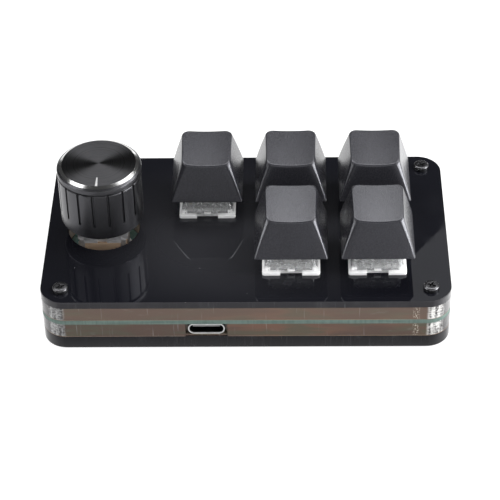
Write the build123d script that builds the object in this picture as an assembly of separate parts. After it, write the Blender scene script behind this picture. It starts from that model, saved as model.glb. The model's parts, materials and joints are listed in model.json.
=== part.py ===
"""Five-key macro keypad with a turn-and-press knob, in a stacked acrylic case.

Millimetres. Origin at the centre of the footprint on the surface the feet stand on.
+X is to the right, +Y to the back, +Z up. Each sub-part is written to parts/NAME.step.
"""
from build123d import *
import math
import os

os.makedirs("parts", exist_ok=True)

# Case outline and the stack of layers, from the bottom up
plate_width = 100.0
plate_depth = 57.0
plate_corner_radius = 6.0
foot_height = 1.0
bottom_cover_thickness = 3.65
liner_thickness = 0.1
lower_spacer_thickness = 3.9
pcb_thickness = 1.25
upper_spacer_thickness = 3.75
top_plate_thickness = 1.95
spacer_wall = 4.4
spacer_inner_radius = 2.0

# Corner screws, nuts and feet
screw_inset_x = 5.0
screw_inset_y = 4.8
screw_diameter = 2.0
screw_hole_clearance = 0.1
screw_length = 14.0
screw_head_diameter = 3.8
screw_head_height = 1.2
screw_head_edge_radius = 0.45
screw_boss_radius = 4.4
screw_recess_span = 2.1
screw_recess_width = 0.5
screw_recess_depth = 0.6
nut_across_flats = 4.0
nut_thickness = 1.6
nut_pocket_depth = 2.0
nut_pocket_clearance = 0.1
thread_clearance = 0.03
foot_diameter = 8.0
foot_inset_x = 14.0
foot_inset_y = 10.5
foot_chamfer = 0.3

# Key positions
key_column_pitch = 21.1
key_row_pitch = 22.15
first_column_x = -10.0

# Switch base
switch_body_width = 13.4
switch_cutout_clearance = 0.05
spacer_cutout_clearance = 0.8
flange_width = 14.2
flange_depth = 15.5
flange_thickness = 1.0
flange_corner_radius = 0.6
flange_notch_width = 5.0
flange_notch_depth = 1.6
base_wall = 1.0
base_floor = 1.2
centre_peg_diameter = 3.9
centre_peg_depth = 3.0
side_peg_diameter = 1.7
side_peg_depth = 2.6
side_peg_spacing = 10.16
peg_clearance = 0.1
guide_tube_height = 3.0
guide_tube_wall = 0.5

# Switch top
housing_height = 6.6
housing_foot_width = 13.0
housing_foot_depth = 13.8
housing_top_width = 10.5
housing_top_depth = 10.5
housing_wall = 0.9
housing_corner_radius = 1.2
housing_tab_width = 1.9
tab_clearance = 0.1
tab_overlap = 0.7

# Switch slider
key_travel = 4.0
slider_width = 6.8
slider_depth = 6.4
slider_running_gap = 0.3
slider_rise = 0.15
slider_roof = 1.2
slider_floor_gap = 0.4
slider_wing_span = 8.4
slider_wing_depth = 2.4
wing_seat_gap = 0.1
pole_diameter = 2.9
pole_running_gap = 0.1
pole_end_gap = 0.4
pole_travel_reach = 2.1
cross_span = 4.0
cross_arm = 1.2
cross_height = 3.6

# Switch spring and contacts
spring_wire = 0.3
spring_radius = 2.55
spring_turns = 8
spring_seat_gap = 0.02
spring_side_gap = 0.15
contact_overlap = 0.8
contact_thickness = 0.25
contact_height = 4.2
contact_gap = 0.35
contact_end_margin = 0.75
pin_width = 0.9
pin_depth = 0.4
pin_reach = 3.2
pin_clearance = 0.05
pin_hole_diameter = 1.3
pin_one_x = -3.81
pin_one_y = 2.54
pin_two_x = 2.54
pin_two_y = 5.08

# Keycap
cap_width = 18.1
cap_clear_height = 6.1
cap_corner_radius = 1.1
cap_inner_radius = 0.5
cap_front_height = 9.6
cap_front_inset = 3.4
cap_front_half_width = 6.0
cap_front_sag = 0.95
cap_back_height = 10.7
cap_back_inset = 1.9
cap_back_half_width = 6.35
cap_back_sag = 0.4
cap_dish_margin = 0.4
dish_overrun = 0.4
cap_wall = 1.5
cap_roof = 1.4
cap_post_diameter = 5.4
cap_post_gap = 0.05
cap_socket_clearance = 0.05
cap_socket_end_gap = 0.5

# Rotary encoder
encoder_x = -36.0
encoder_y = 0.2
encoder_hole_diameter = 18.0
encoder_body_width = 11.7
encoder_body_depth = 12.0
encoder_side_depth = 9.4
encoder_face_width = 8.8
encoder_body_height = 5.7
encoder_wall = 1.6
encoder_floor = 1.0
encoder_cover_thickness = 0.8
encoder_cover_overhang = 0.2
encoder_notch_width = 2.4
encoder_notch_depth = 0.6
encoder_strap_thickness = 0.4
encoder_strap_depth = 2.6
encoder_lug_depth = 2.0
encoder_lug_reach = 2.8
lug_clearance = 0.1
bushing_diameter = 7.0
bushing_height = 5.0
bushing_chamfer = 0.3
bushing_flange_diameter = 8.6
bushing_flange_thickness = 0.6
shaft_diameter = 6.0
shaft_running_gap = 0.08
shaft_length = 15.0
shaft_chamfer = 0.4
shaft_flat_depth = 1.5
shaft_flat_length = 9.0
rotor_diameter = 7.8
rotor_thickness = 1.2
rotor_gap = 0.2
press_travel = 0.5
plunger_diameter = 4.4
plunger_nose_diameter = 3.0
plunger_nose_height = 0.5
plunger_nose_gap = 0.02
plunger_end_gap = 0.05
plunger_running_gap = 0.1
collar_wall = 1.0
collar_rotor_gap = 0.4
dome_diameter = 4.2
dome_height = 0.9
dome_thickness = 0.15
terminal_width = 0.9
terminal_thickness = 0.4
terminal_height = 0.9
terminal_offset = 1.3
terminal_pitch = 2.5
terminal_back_pitch = 5.0
terminal_reach = 3.0
terminal_hole_diameter = 1.2

# Knob
knob_lift = 4.3
knob_height = 16.1
knob_diameter = 20.9
knob_rim_bevel = 1.05
knob_bevel_height = 0.95
knob_rim_height = 1.3
knob_groove_height = 0.6
knob_groove_depth = 0.5
knob_skirt_diameter = 20.7
knob_band_height = 4.0
knob_bottom_round = 0.6
knob_flute_count = 17
knob_flute_width = 0.6
knob_flute_depth = 0.5
first_flute_angle = -6.0
knob_hollow_diameter = 16.4
knob_roof = 1.6
knob_disc_diameter = 18.66
knob_disc_thickness = 0.6
knob_disc_clearance = 0.05
pointer_width = 1.0
pointer_length = 3.4
pointer_depth = 0.35
pointer_fit = 0.02
knob_core_diameter = 10.0
knob_core_lift = 2.4
knob_core_fit = 0.05
knob_bore_fit = 0.05
knob_spoke_width = 1.4
shaft_end_gap = 0.2

# Connector and board parts
usb_x = -9.6
usb_front_recess = 0.1
usb_shell_width = 8.94
usb_shell_height = 3.2
usb_shell_length = 7.4
usb_shell_wall = 0.3
usb_shell_radius = 1.5
usb_slot_clearance = 0.63
usb_insulator_clearance = 0.02
usb_back_thickness = 1.6
usb_tongue_width = 6.7
usb_tongue_thickness = 0.7
usb_tongue_length = 4.6
controller_size = 7.0
controller_thickness = 0.9
controller_chamfer = 0.15
crystal_width = 3.2
crystal_depth = 2.5
crystal_thickness = 0.8
regulator_width = 3.0
regulator_depth = 1.6
regulator_thickness = 1.1
passive_width = 1.6
passive_depth = 0.8
passive_thickness = 0.6
passive_pitch = 2.0
passive_count = 6
board_part_gap = 2.0

# Heights of the layers
cover_bottom_z = foot_height
cover_top_z = cover_bottom_z + bottom_cover_thickness
lower_spacer_z = cover_top_z + liner_thickness
pcb_bottom_z = lower_spacer_z + lower_spacer_thickness
pcb_top_z = pcb_bottom_z + pcb_thickness
upper_spacer_z = pcb_top_z + liner_thickness
top_plate_z = upper_spacer_z + upper_spacer_thickness
plate_top_z = top_plate_z + top_plate_thickness

# Places of the screws, feet, keys and board parts
screw_x = plate_width / 2 - screw_inset_x
screw_y = plate_depth / 2 - screw_inset_y
screw_places = [(sx * screw_x, sy * screw_y) for sx in (-1, 1) for sy in (-1, 1)]
screw_hole_diameter = screw_diameter + 2 * screw_hole_clearance
foot_x = plate_width / 2 - foot_inset_x
foot_y = plate_depth / 2 - foot_inset_y
back_row_y = key_row_pitch / 2
front_row_y = -key_row_pitch / 2
key_places = [
    (first_column_x, back_row_y),
    (first_column_x + key_column_pitch, back_row_y),
    (first_column_x + 2 * key_column_pitch, back_row_y),
    (first_column_x + key_column_pitch, front_row_y),
    (first_column_x + 2 * key_column_pitch, front_row_y),
]
usb_front_y = usb_front_recess - plate_depth / 2
controller_y = usb_front_y + usb_shell_length + board_part_gap + controller_size / 2
crystal_x = usb_x + controller_size / 2 + board_part_gap + crystal_width / 2
regulator_y = controller_y + controller_size / 2 + board_part_gap + regulator_depth / 2

# Heights inside a switch, with the slider at rest
flange_top_z = plate_top_z + flange_thickness
housing_top_z = plate_top_z + housing_height
base_floor_z = pcb_top_z + base_floor
shoulder_z = housing_top_z + slider_rise
slider_roof_z = shoulder_z - slider_roof
slider_skirt_z = base_floor_z + slider_floor_gap + key_travel
slider_opening_width = slider_width + 2 * slider_running_gap
slider_opening_depth = slider_depth + 2 * slider_running_gap
slider_bore_diameter = 2 * spring_radius + spring_wire + 2 * spring_side_gap
guide_bore_diameter = pole_diameter + 2 * pole_running_gap
pole_end_z = pcb_top_z - pole_travel_reach + key_travel
guide_bore_z = pole_end_z - key_travel - pole_end_gap
spring_start_z = base_floor_z + spring_seat_gap + spring_wire / 2
spring_pitch = (slider_roof_z - base_floor_z - 2 * spring_seat_gap - spring_wire) / spring_turns
tab_inner_y = housing_foot_depth / 2 - tab_overlap
cap_base_z = plate_top_z + cap_clear_height
cap_post_z = shoulder_z + cap_post_gap
cap_socket_depth = cross_height - cap_post_gap + cap_socket_end_gap

# Heights inside the encoder and the knob, with the knob at rest
encoder_floor_z = pcb_top_z + encoder_floor
encoder_top_z = pcb_top_z + encoder_body_height + encoder_cover_thickness
shaft_bore_diameter = shaft_diameter + 2 * shaft_running_gap
shaft_top_z = encoder_top_z + shaft_length
rotor_z = pcb_top_z + encoder_body_height - rotor_gap - rotor_thickness
collar_height = rotor_z - press_travel - collar_rotor_gap - encoder_floor_z
collar_bore_diameter = plunger_diameter + 2 * plunger_running_gap
knob_z = plate_top_z + knob_lift


def save(solids, name):
    """Write one sub-part, a solid or a list of separate solids, as parts/NAME.step."""
    shape = Compound(children=solids) if isinstance(solids, list) else solids
    shape.label = name
    export_step(shape, f"parts/{name}.step")


def slab(width, depth, thickness, z, radius):
    """A flat plate with rounded corners whose underside is at z."""
    return Pos(0, 0, z) * extrude(RectangleRounded(width, depth, radius), thickness)


def block(width, depth, height, x, y, z):
    """A box centred on x and y whose underside is at z."""
    return Pos(x, y, z) * Box(width, depth, height, align=(Align.CENTER, Align.CENTER, Align.MIN))


def rod(diameter, height, x, y, z):
    """An upright cylinder whose underside is at z."""
    return Pos(x, y, z) * Cylinder(diameter / 2, height, align=(Align.CENTER, Align.CENTER, Align.MIN))


def drill(shape, diameter, places, z, height):
    """Cut the same round hole at each place, from z upwards."""
    for x, y in places:
        shape -= rod(diameter, height, x, y, z)
    return shape


# Case layers
def with_screw_holes(shape, z, height):
    """Clearance holes for the four corner screws."""
    return drill(shape, screw_hole_diameter, screw_places, z, height)


def spacer_ring(z, thickness):
    """A frame-shaped layer: a wall all round, widened round each screw."""
    ring = slab(plate_width, plate_depth, thickness, z, plate_corner_radius)
    window = slab(
        plate_width - 2 * spacer_wall, plate_depth - 2 * spacer_wall, thickness, z, spacer_inner_radius
    )
    for x, y in screw_places:
        window -= rod(2 * screw_boss_radius, thickness, x, y, z)
    return with_screw_holes(ring - window, z, thickness)


def with_usb_slot(shape, z, thickness):
    """Cut the slot that the USB-C shell sits in through the front wall."""
    slot_width = usb_shell_width + 2 * usb_slot_clearance
    slot_depth = 2 * spacer_wall
    return shape - block(slot_width, slot_depth, thickness, usb_x, -plate_depth / 2, z)


def make_bottom_cover():
    """Thick lower plate with a hexagonal nut pocket under each screw hole."""
    plate = slab(plate_width, plate_depth, bottom_cover_thickness, cover_bottom_z, plate_corner_radius)
    plate = with_screw_holes(plate, cover_bottom_z, bottom_cover_thickness)
    pocket_radius = (nut_across_flats / 2 + nut_pocket_clearance) / math.cos(math.pi / 6)
    for x, y in screw_places:
        outline = Pos(x, y, cover_bottom_z) * RegularPolygon(pocket_radius, 6)
        plate -= extrude(outline, nut_pocket_depth)
    return plate


def cutout_plate(z, thickness, switch_clearance):
    """A full layer with a square cutout for each switch, a round encoder hole and screw holes."""
    plate = slab(plate_width, plate_depth, thickness, z, plate_corner_radius)
    plate = with_screw_holes(plate, z, thickness)
    cutout = switch_body_width + 2 * switch_clearance
    for x, y in key_places:
        plate -= block(cutout, cutout, thickness, x, y, z)
    return plate - rod(encoder_hole_diameter, thickness, encoder_x, encoder_y, z)


def make_pcb():
    """Board between the spacers, with a hole for every peg, pin, lug and screw."""
    board = slab(plate_width, plate_depth, pcb_thickness, pcb_bottom_z, plate_corner_radius)
    board = with_screw_holes(board, pcb_bottom_z, pcb_thickness)
    for x, y in key_places:
        sides = [(x - side_peg_spacing / 2, y), (x + side_peg_spacing / 2, y)]
        pins = [(x + pin_one_x, y + pin_one_y), (x + pin_two_x, y + pin_two_y)]
        board = drill(board, centre_peg_diameter + 2 * peg_clearance, [(x, y)], pcb_bottom_z, pcb_thickness)
        board = drill(board, side_peg_diameter + 2 * peg_clearance, sides, pcb_bottom_z, pcb_thickness)
        board = drill(board, pin_hole_diameter, pins, pcb_bottom_z, pcb_thickness)
    board = drill(board, terminal_hole_diameter, terminal_places(), pcb_bottom_z, pcb_thickness)
    slot_width = encoder_strap_thickness + 2 * lug_clearance
    slot_depth = encoder_lug_depth + 2 * lug_clearance
    for x in strap_centres():
        board -= block(slot_width, slot_depth, pcb_thickness, x, encoder_y, pcb_bottom_z)
    return board


def make_screw(x, y):
    """Pan-head screw with a cross recess, its head on the top plate."""
    head = rod(screw_head_diameter, screw_head_height, x, y, plate_top_z)
    head = fillet(head.edges().group_by(Axis.Z)[-1], screw_head_edge_radius)
    shank = rod(screw_diameter, screw_length, x, y, plate_top_z - screw_length)
    recess_z = plate_top_z + screw_head_height - screw_recess_depth
    recess = block(screw_recess_span, screw_recess_width, screw_recess_depth, x, y, recess_z)
    recess += block(screw_recess_width, screw_recess_span, screw_recess_depth, x, y, recess_z)
    return head + shank - recess


def make_nut(x, y):
    """Hexagonal nut lying against the top of its pocket."""
    z = cover_bottom_z + nut_pocket_depth - nut_thickness
    outline = Pos(x, y, z) * RegularPolygon(nut_across_flats / 2 / math.cos(math.pi / 6), 6)
    return extrude(outline, nut_thickness) - rod(screw_diameter + 2 * thread_clearance, nut_thickness, x, y, z)


def make_foot(x, y):
    """Round rubber foot stuck under the bottom cover."""
    foot = rod(foot_diameter, foot_height, x, y, 0)
    return chamfer(foot.edges().group_by(Axis.Z)[0], foot_chamfer)


# USB-C socket and the small parts under the board
def usb_section(width, height, radius):
    """Upright outline of the socket, seen from the front, centred on the socket's axis."""
    axis_z = pcb_bottom_z - usb_shell_height / 2
    front = Plane(origin=(usb_x, usb_front_y, axis_z), x_dir=(1, 0, 0), z_dir=(0, -1, 0))
    return front * RectangleRounded(width, height, radius)


def make_usb_shell():
    """Drawn metal shell of the socket, open at the front and the back."""
    inner_width = usb_shell_width - 2 * usb_shell_wall
    inner_height = usb_shell_height - 2 * usb_shell_wall
    outer = usb_section(usb_shell_width, usb_shell_height, usb_shell_radius)
    inner = usb_section(inner_width, inner_height, usb_shell_radius - usb_shell_wall)
    return extrude(outer - inner, -usb_shell_length)


def make_usb_insulator():
    """Plastic block that closes the back of the shell and carries the contact tongue."""
    fit = usb_shell_wall + usb_insulator_clearance
    back = usb_section(usb_shell_width - 2 * fit, usb_shell_height - 2 * fit, usb_shell_radius - fit)
    back = extrude(back, -usb_shell_length) - extrude(back, usb_back_thickness - usb_shell_length)
    length = usb_tongue_length + usb_back_thickness
    y = usb_front_y + usb_shell_length - length / 2
    z = pcb_bottom_z - usb_shell_height / 2 - usb_tongue_thickness / 2
    return back + block(usb_tongue_width, length, usb_tongue_thickness, usb_x, y, z)


def hung(width, depth, thickness, x, y):
    """A small flat part on the underside of the board."""
    return block(width, depth, thickness, x, y, pcb_bottom_z - thickness)


def make_microcontroller():
    """Square flat chip behind the socket, with a chamfered lower rim."""
    chip = hung(controller_size, controller_size, controller_thickness, usb_x, controller_y)
    return chamfer(chip.edges().group_by(Axis.Z)[0], controller_chamfer)


def make_passives():
    """Row of small resistors and capacitors beside the chip."""
    x = usb_x - controller_size / 2 - board_part_gap
    first_y = controller_y - passive_pitch * (passive_count - 1) / 2
    places = [first_y + passive_pitch * index for index in range(passive_count)]
    return [hung(passive_width, passive_depth, passive_thickness, x, y) for y in places]


# Key switches
def housing_loft(inset, top_z):
    """Tapering block of the clear housing from the flange to top_z, drawn in by inset."""
    rise = (top_z - flange_top_z) / (housing_height - flange_thickness)
    width = housing_foot_width + (housing_top_width - housing_foot_width) * rise
    depth = housing_foot_depth + (housing_top_depth - housing_foot_depth) * rise
    foot_width = housing_foot_width - 2 * inset
    foot_depth = housing_foot_depth - 2 * inset
    foot = RectangleRounded(foot_width, foot_depth, housing_corner_radius)
    roof = RectangleRounded(width - 2 * inset, depth - 2 * inset, housing_corner_radius)
    return loft([Pos(0, 0, flange_top_z) * foot, Pos(0, 0, top_z) * roof], ruled=True)


def make_switch_top():
    """Clear upper housing: a tapering shell with the slider's opening and two clip tabs."""
    shell = housing_loft(0, housing_top_z) - housing_loft(housing_wall, housing_top_z - housing_wall)
    shell -= block(slider_opening_width, slider_opening_depth, housing_height, 0, 0, flange_top_z)
    tab_depth = flange_depth / 2 - tab_clearance - tab_inner_y
    tab_y = tab_inner_y + tab_depth / 2
    for side in (-1, 1):
        tab_height = flange_thickness + housing_wall - tab_clearance
        shell += block(housing_tab_width, tab_depth, tab_height, 0, side * tab_y, plate_top_z + tab_clearance)
    return shell


def make_switch_base():
    """Milky lower housing: flange on the plate, box below it, guide tube, pegs and pin slots."""
    base = block(switch_body_width, switch_body_width, plate_top_z - pcb_top_z, 0, 0, pcb_top_z)
    base += slab(flange_width, flange_depth, flange_thickness, plate_top_z, flange_corner_radius)
    cavity = switch_body_width - 2 * base_wall
    base -= block(cavity, cavity, flange_top_z - base_floor_z, 0, 0, base_floor_z)
    for side in (-1, 1):
        notch_y = side * (flange_depth - flange_notch_depth) / 2
        base -= block(flange_notch_width, flange_notch_depth, flange_thickness, 0, notch_y, plate_top_z)
        peg_x = side * side_peg_spacing / 2
        base += rod(side_peg_diameter, side_peg_depth, peg_x, 0, pcb_top_z - side_peg_depth)
    base += rod(guide_bore_diameter + 2 * guide_tube_wall, guide_tube_height, 0, 0, base_floor_z)
    base += rod(centre_peg_diameter, centre_peg_depth, 0, 0, pcb_top_z - centre_peg_depth)
    base -= rod(guide_bore_diameter, base_floor_z + guide_tube_height - guide_bore_z, 0, 0, guide_bore_z)
    slot_width = pin_width + 2 * pin_clearance
    slot_depth = pin_depth + 2 * pin_clearance
    for x, y in ((pin_one_x, pin_one_y), (pin_two_x, pin_two_y)):
        base -= block(slot_width, slot_depth, base_floor, x, y, pcb_top_z)
    return base


def make_switch_contacts():
    """Two metal leaves behind the slider, each with a pin through the board."""
    pin_z = pcb_top_z - pin_reach
    pin_height = base_floor_z + contact_thickness - pin_z
    near_y = pin_two_y - contact_thickness - contact_gap
    near_start = pin_one_x - contact_end_margin
    far_end = pin_two_x + contact_end_margin
    near_width = contact_overlap - near_start
    far_width = far_end + contact_overlap
    foot_depth = near_y - pin_one_y
    foot_middle_y = pin_one_y + foot_depth / 2
    near_x = near_start + near_width / 2
    far_x = far_end - far_width / 2
    near = block(near_width, contact_thickness, contact_height, near_x, near_y, base_floor_z)
    near += block(pin_width, foot_depth, contact_thickness, pin_one_x, foot_middle_y, base_floor_z)
    near += block(pin_width, pin_depth, pin_height, pin_one_x, pin_one_y, pin_z)
    far = block(far_width, contact_thickness, contact_height, far_x, pin_two_y, base_floor_z)
    far += block(pin_width, pin_depth, pin_height, pin_two_x, pin_two_y, pin_z)
    return [near, far]


def arc_middle(start, end, corner):
    """Middle point of the circular arc whose end tangents meet at corner."""
    weight = (end - start).length / 2 / (corner - start).length
    return (start + end + corner * (2 * weight)) * (1 / (2 + 2 * weight))


def helix_arcs(radius, pitch, z, half_turns):
    """Arcs, two for each half turn, that follow a helix smoothly from height z."""
    arcs = []
    for index in range(half_turns):
        ends = []
        for step in (index, index + 1):
            angle = math.pi * step
            place = Vector(radius * math.cos(angle), radius * math.sin(angle), z + pitch * step / 2)
            along = Vector(-radius * math.sin(angle), radius * math.cos(angle), pitch / (2 * math.pi))
            ends.append((place, along.normalized()))
        (start, start_dir), (end, end_dir) = ends
        chord = end - start
        spread = 2 * (1 - start_dir.dot(end_dir))
        lean = chord.dot(start_dir + end_dir)
        reach = (math.sqrt(lean * lean + spread * chord.dot(chord)) - lean) / spread
        start_corner = start + start_dir * reach
        end_corner = end - end_dir * reach
        middle = (start_corner + end_corner) * 0.5
        arcs.append(ThreePointArc(start, arc_middle(start, middle, start_corner), middle))
        arcs.append(ThreePointArc(middle, arc_middle(middle, end, end_corner), end))
    return arcs


def make_switch_spring():
    """Return spring between the base's floor and the slider's roof, as one unbroken wire."""
    path = Wire(helix_arcs(spring_radius, spring_pitch, spring_start_z, 2 * spring_turns))
    section = Plane(origin=path @ 0, z_dir=path % 0) * Circle(spring_wire / 2)
    return sweep(section, path)


def make_switch_slider():
    """Sliding stem: hollow block with side wings, a guide pole and the cross that holds the cap."""
    skirt_height = shoulder_z - slider_skirt_z
    slider = block(slider_width, slider_depth, skirt_height, 0, 0, slider_skirt_z)
    wing_top_z = housing_top_z - housing_wall - wing_seat_gap
    slider += block(slider_wing_span, slider_wing_depth, wing_top_z - slider_skirt_z, 0, 0, slider_skirt_z)
    slider -= rod(slider_bore_diameter, slider_roof_z - slider_skirt_z, 0, 0, slider_skirt_z)
    slider += rod(pole_diameter, slider_roof_z - pole_end_z, 0, 0, pole_end_z)
    slider += block(cross_span, cross_arm, cross_height, 0, 0, shoulder_z)
    return slider + block(cross_arm, cross_span, cross_height, 0, 0, shoulder_z)


# Keycap
def cap_section(height, inset):
    """Outline of the cap at a height above its lower edge, drawn in by inset."""
    half = cap_width / 2
    front_narrowing = (half - cap_front_half_width) * height / cap_front_height
    back_narrowing = (half - cap_back_half_width) * height / cap_back_height
    front_y = -half + cap_front_inset * height / cap_front_height + inset
    back_y = half - cap_back_inset * height / cap_back_height - inset
    front_half = half - front_narrowing - inset
    back_half = half - back_narrowing - inset
    corners = [(-front_half, front_y), (front_half, front_y), (back_half, back_y), (-back_half, back_y)]
    outline = make_face(Polyline(*corners, close=True))
    outline = fillet(outline.vertices(), max(cap_corner_radius - inset, cap_inner_radius))
    return Pos(0, 0, cap_base_z + height) * outline


def dish_section(share):
    """Upright face above the dished top, at a share of the way from its front edge to its back edge."""
    front_y = -cap_width / 2 + cap_front_inset
    back_y = cap_width / 2 - cap_back_inset
    front_bend = 2 * cap_front_sag / (cap_front_half_width ** 2 + cap_front_sag ** 2)
    back_bend = 2 * cap_back_sag / (cap_back_half_width ** 2 + cap_back_sag ** 2)
    bend = front_bend + (back_bend - front_bend) * share
    front_low = cap_front_height - cap_front_sag
    back_low = cap_back_height - cap_back_sag
    low_z = cap_base_z + front_low + (back_low - front_low) * share
    y = front_y + (back_y - front_y) * share
    reach = cap_width / 2
    edge_z = low_z + (1 - math.sqrt(1 - (bend * reach) ** 2)) / bend
    ceiling_z = cap_base_z + cap_back_height + reach
    arc = ThreePointArc((-reach, y, edge_z), (0, y, low_z), (reach, y, edge_z))
    lid = Polyline((reach, y, edge_z), (reach, y, ceiling_z), (-reach, y, ceiling_z), (-reach, y, edge_z))
    return make_face([arc, *lid.edges()])


def make_keycap():
    """Sculpted cap: tapering sides, a top dished from side to side, a hollow with the cross socket."""
    top_height = max(cap_front_height, cap_back_height) + cap_dish_margin
    cap = loft([cap_section(0, 0), cap_section(top_height, 0)], ruled=True)
    cap -= loft([dish_section(-dish_overrun), dish_section(1 + dish_overrun)], ruled=True)
    cavity_height = cap_front_height - cap_front_sag - cap_roof
    cap -= loft([cap_section(0, cap_wall), cap_section(cavity_height, cap_wall)], ruled=True)
    post_height = cap_base_z + cavity_height - cap_post_z
    cap += rod(cap_post_diameter, post_height + cap_roof / 2, 0, 0, cap_post_z)
    span = cross_span + 2 * cap_socket_clearance
    arm = cross_arm + 2 * cap_socket_clearance
    cap -= block(span, arm, cap_socket_depth, 0, 0, cap_post_z)
    return cap - block(arm, span, cap_socket_depth, 0, 0, cap_post_z)


# Rotary encoder
def strap_centres():
    """X positions of the two metal straps beside the encoder's base."""
    offset = (encoder_body_width + encoder_strap_thickness) / 2
    return [encoder_x - offset, encoder_x + offset]


def terminal_places():
    """Positions of the encoder's pins: three at the front, two at the back."""
    front_y = encoder_y - encoder_body_depth / 2 - terminal_offset
    back_y = encoder_y + encoder_body_depth / 2 + terminal_offset
    front = [(encoder_x + terminal_pitch * step, front_y) for step in (-1, 0, 1)]
    return front + [(encoder_x + side * terminal_back_pitch / 2, back_y) for side in (-1, 1)]


def make_encoder_base():
    """Tan moulded base with a floor, walls and a collar that guides the plunger."""
    base = block(encoder_body_width, encoder_side_depth, encoder_body_height, encoder_x, encoder_y, pcb_top_z)
    base += block(encoder_face_width, encoder_body_depth, encoder_body_height, encoder_x, encoder_y, pcb_top_z)
    width = encoder_body_width - 2 * encoder_wall
    depth = encoder_body_depth - 2 * encoder_wall
    base -= block(width, depth, encoder_body_height - encoder_floor, encoder_x, encoder_y, encoder_floor_z)
    collar = rod(collar_bore_diameter + 2 * collar_wall, collar_height, encoder_x, encoder_y, encoder_floor_z)
    return base + collar - rod(collar_bore_diameter, collar_height, encoder_x, encoder_y, encoder_floor_z)


def make_encoder_cover():
    """Metal lid over the base, with a strap and a board lug at each side."""
    width = encoder_body_width + 2 * encoder_strap_thickness
    z = pcb_top_z + encoder_body_height
    face_width = encoder_face_width + 2 * encoder_cover_overhang
    face_depth = encoder_body_depth + 2 * encoder_cover_overhang
    cover = block(width, encoder_side_depth, encoder_cover_thickness, encoder_x, encoder_y, z)
    cover += block(face_width, face_depth, encoder_cover_thickness, encoder_x, encoder_y, z)
    for side in (-1, 1):
        notch_y = encoder_y + side * (face_depth - encoder_notch_depth) / 2
        cover -= block(encoder_notch_width, encoder_notch_depth, encoder_cover_thickness, encoder_x, notch_y, z)
    for x in strap_centres():
        cover += block(encoder_strap_thickness, encoder_strap_depth, z - pcb_top_z, x, encoder_y, pcb_top_z)
        lug_z = pcb_top_z - encoder_lug_reach
        cover += block(encoder_strap_thickness, encoder_lug_depth, encoder_lug_reach, x, encoder_y, lug_z)
    return cover - rod(shaft_bore_diameter, encoder_cover_thickness, encoder_x, encoder_y, z)


def make_encoder_bushing():
    """Round neck on the lid that the shaft turns in."""
    neck = rod(bushing_diameter, bushing_height, encoder_x, encoder_y, encoder_top_z)
    neck = chamfer(neck.edges().group_by(Axis.Z)[-1], bushing_chamfer)
    neck += rod(bushing_flange_diameter, bushing_flange_thickness, encoder_x, encoder_y, encoder_top_z)
    return neck - rod(shaft_bore_diameter, bushing_height, encoder_x, encoder_y, encoder_top_z)


def make_encoder_terminals():
    """Bent pins from the base's front and back faces down through the board."""
    pins = []
    arm_z = pcb_top_z + terminal_height
    for x, y in terminal_places():
        side = math.copysign(1, y - encoder_y)
        pin_z = pcb_top_z - terminal_reach
        pin = block(terminal_width, terminal_thickness, arm_z + terminal_thickness - pin_z, x, y, pin_z)
        face_y = encoder_y + side * encoder_body_depth / 2
        pin += block(terminal_width, abs(y - face_y), terminal_thickness, x, (y + face_y) / 2, arm_z)
        pins.append(pin)
    return pins


def make_encoder_dome():
    """Snap disc on the base's floor: a shallow cap of a sphere."""
    radius = (dome_diameter ** 2 / 4 + dome_height ** 2) / (2 * dome_height)
    centre_z = encoder_floor_z + dome_height - radius
    place = Pos(encoder_x, encoder_y, centre_z)
    skin = place * Sphere(radius) - place * Sphere(radius - dome_thickness)
    return skin & rod(dome_diameter, dome_height, encoder_x, encoder_y, encoder_floor_z)


def make_encoder_plunger():
    """Push pin between the shaft's end and the snap disc."""
    nose_z = encoder_floor_z + dome_height + plunger_nose_gap
    head_z = nose_z + plunger_nose_height
    plunger = rod(plunger_nose_diameter, plunger_nose_height, encoder_x, encoder_y, nose_z)
    return plunger + rod(plunger_diameter, rotor_z - plunger_end_gap - head_z, encoder_x, encoder_y, head_z)


# Knob
def shaft_flat_cut(clearance, z, height):
    """The block that makes the flat of the D, clearance away from the shaft's own flat."""
    flat_x = shaft_diameter / 2 - shaft_flat_depth + clearance
    width = shaft_diameter
    return block(width, 2 * shaft_diameter, height, encoder_x + flat_x + width / 2, encoder_y, z)


def make_knob_shaft():
    """Encoder shaft with its rotor disc inside the base and a flat on its upper end."""
    shaft = rod(shaft_diameter, shaft_top_z - rotor_z, encoder_x, encoder_y, rotor_z)
    shaft = chamfer(shaft.edges().group_by(Axis.Z)[-1], shaft_chamfer)
    shaft += rod(rotor_diameter, rotor_thickness, encoder_x, encoder_y, rotor_z)
    return shaft - shaft_flat_cut(0, shaft_top_z - shaft_flat_length, shaft_flat_length)


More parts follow.
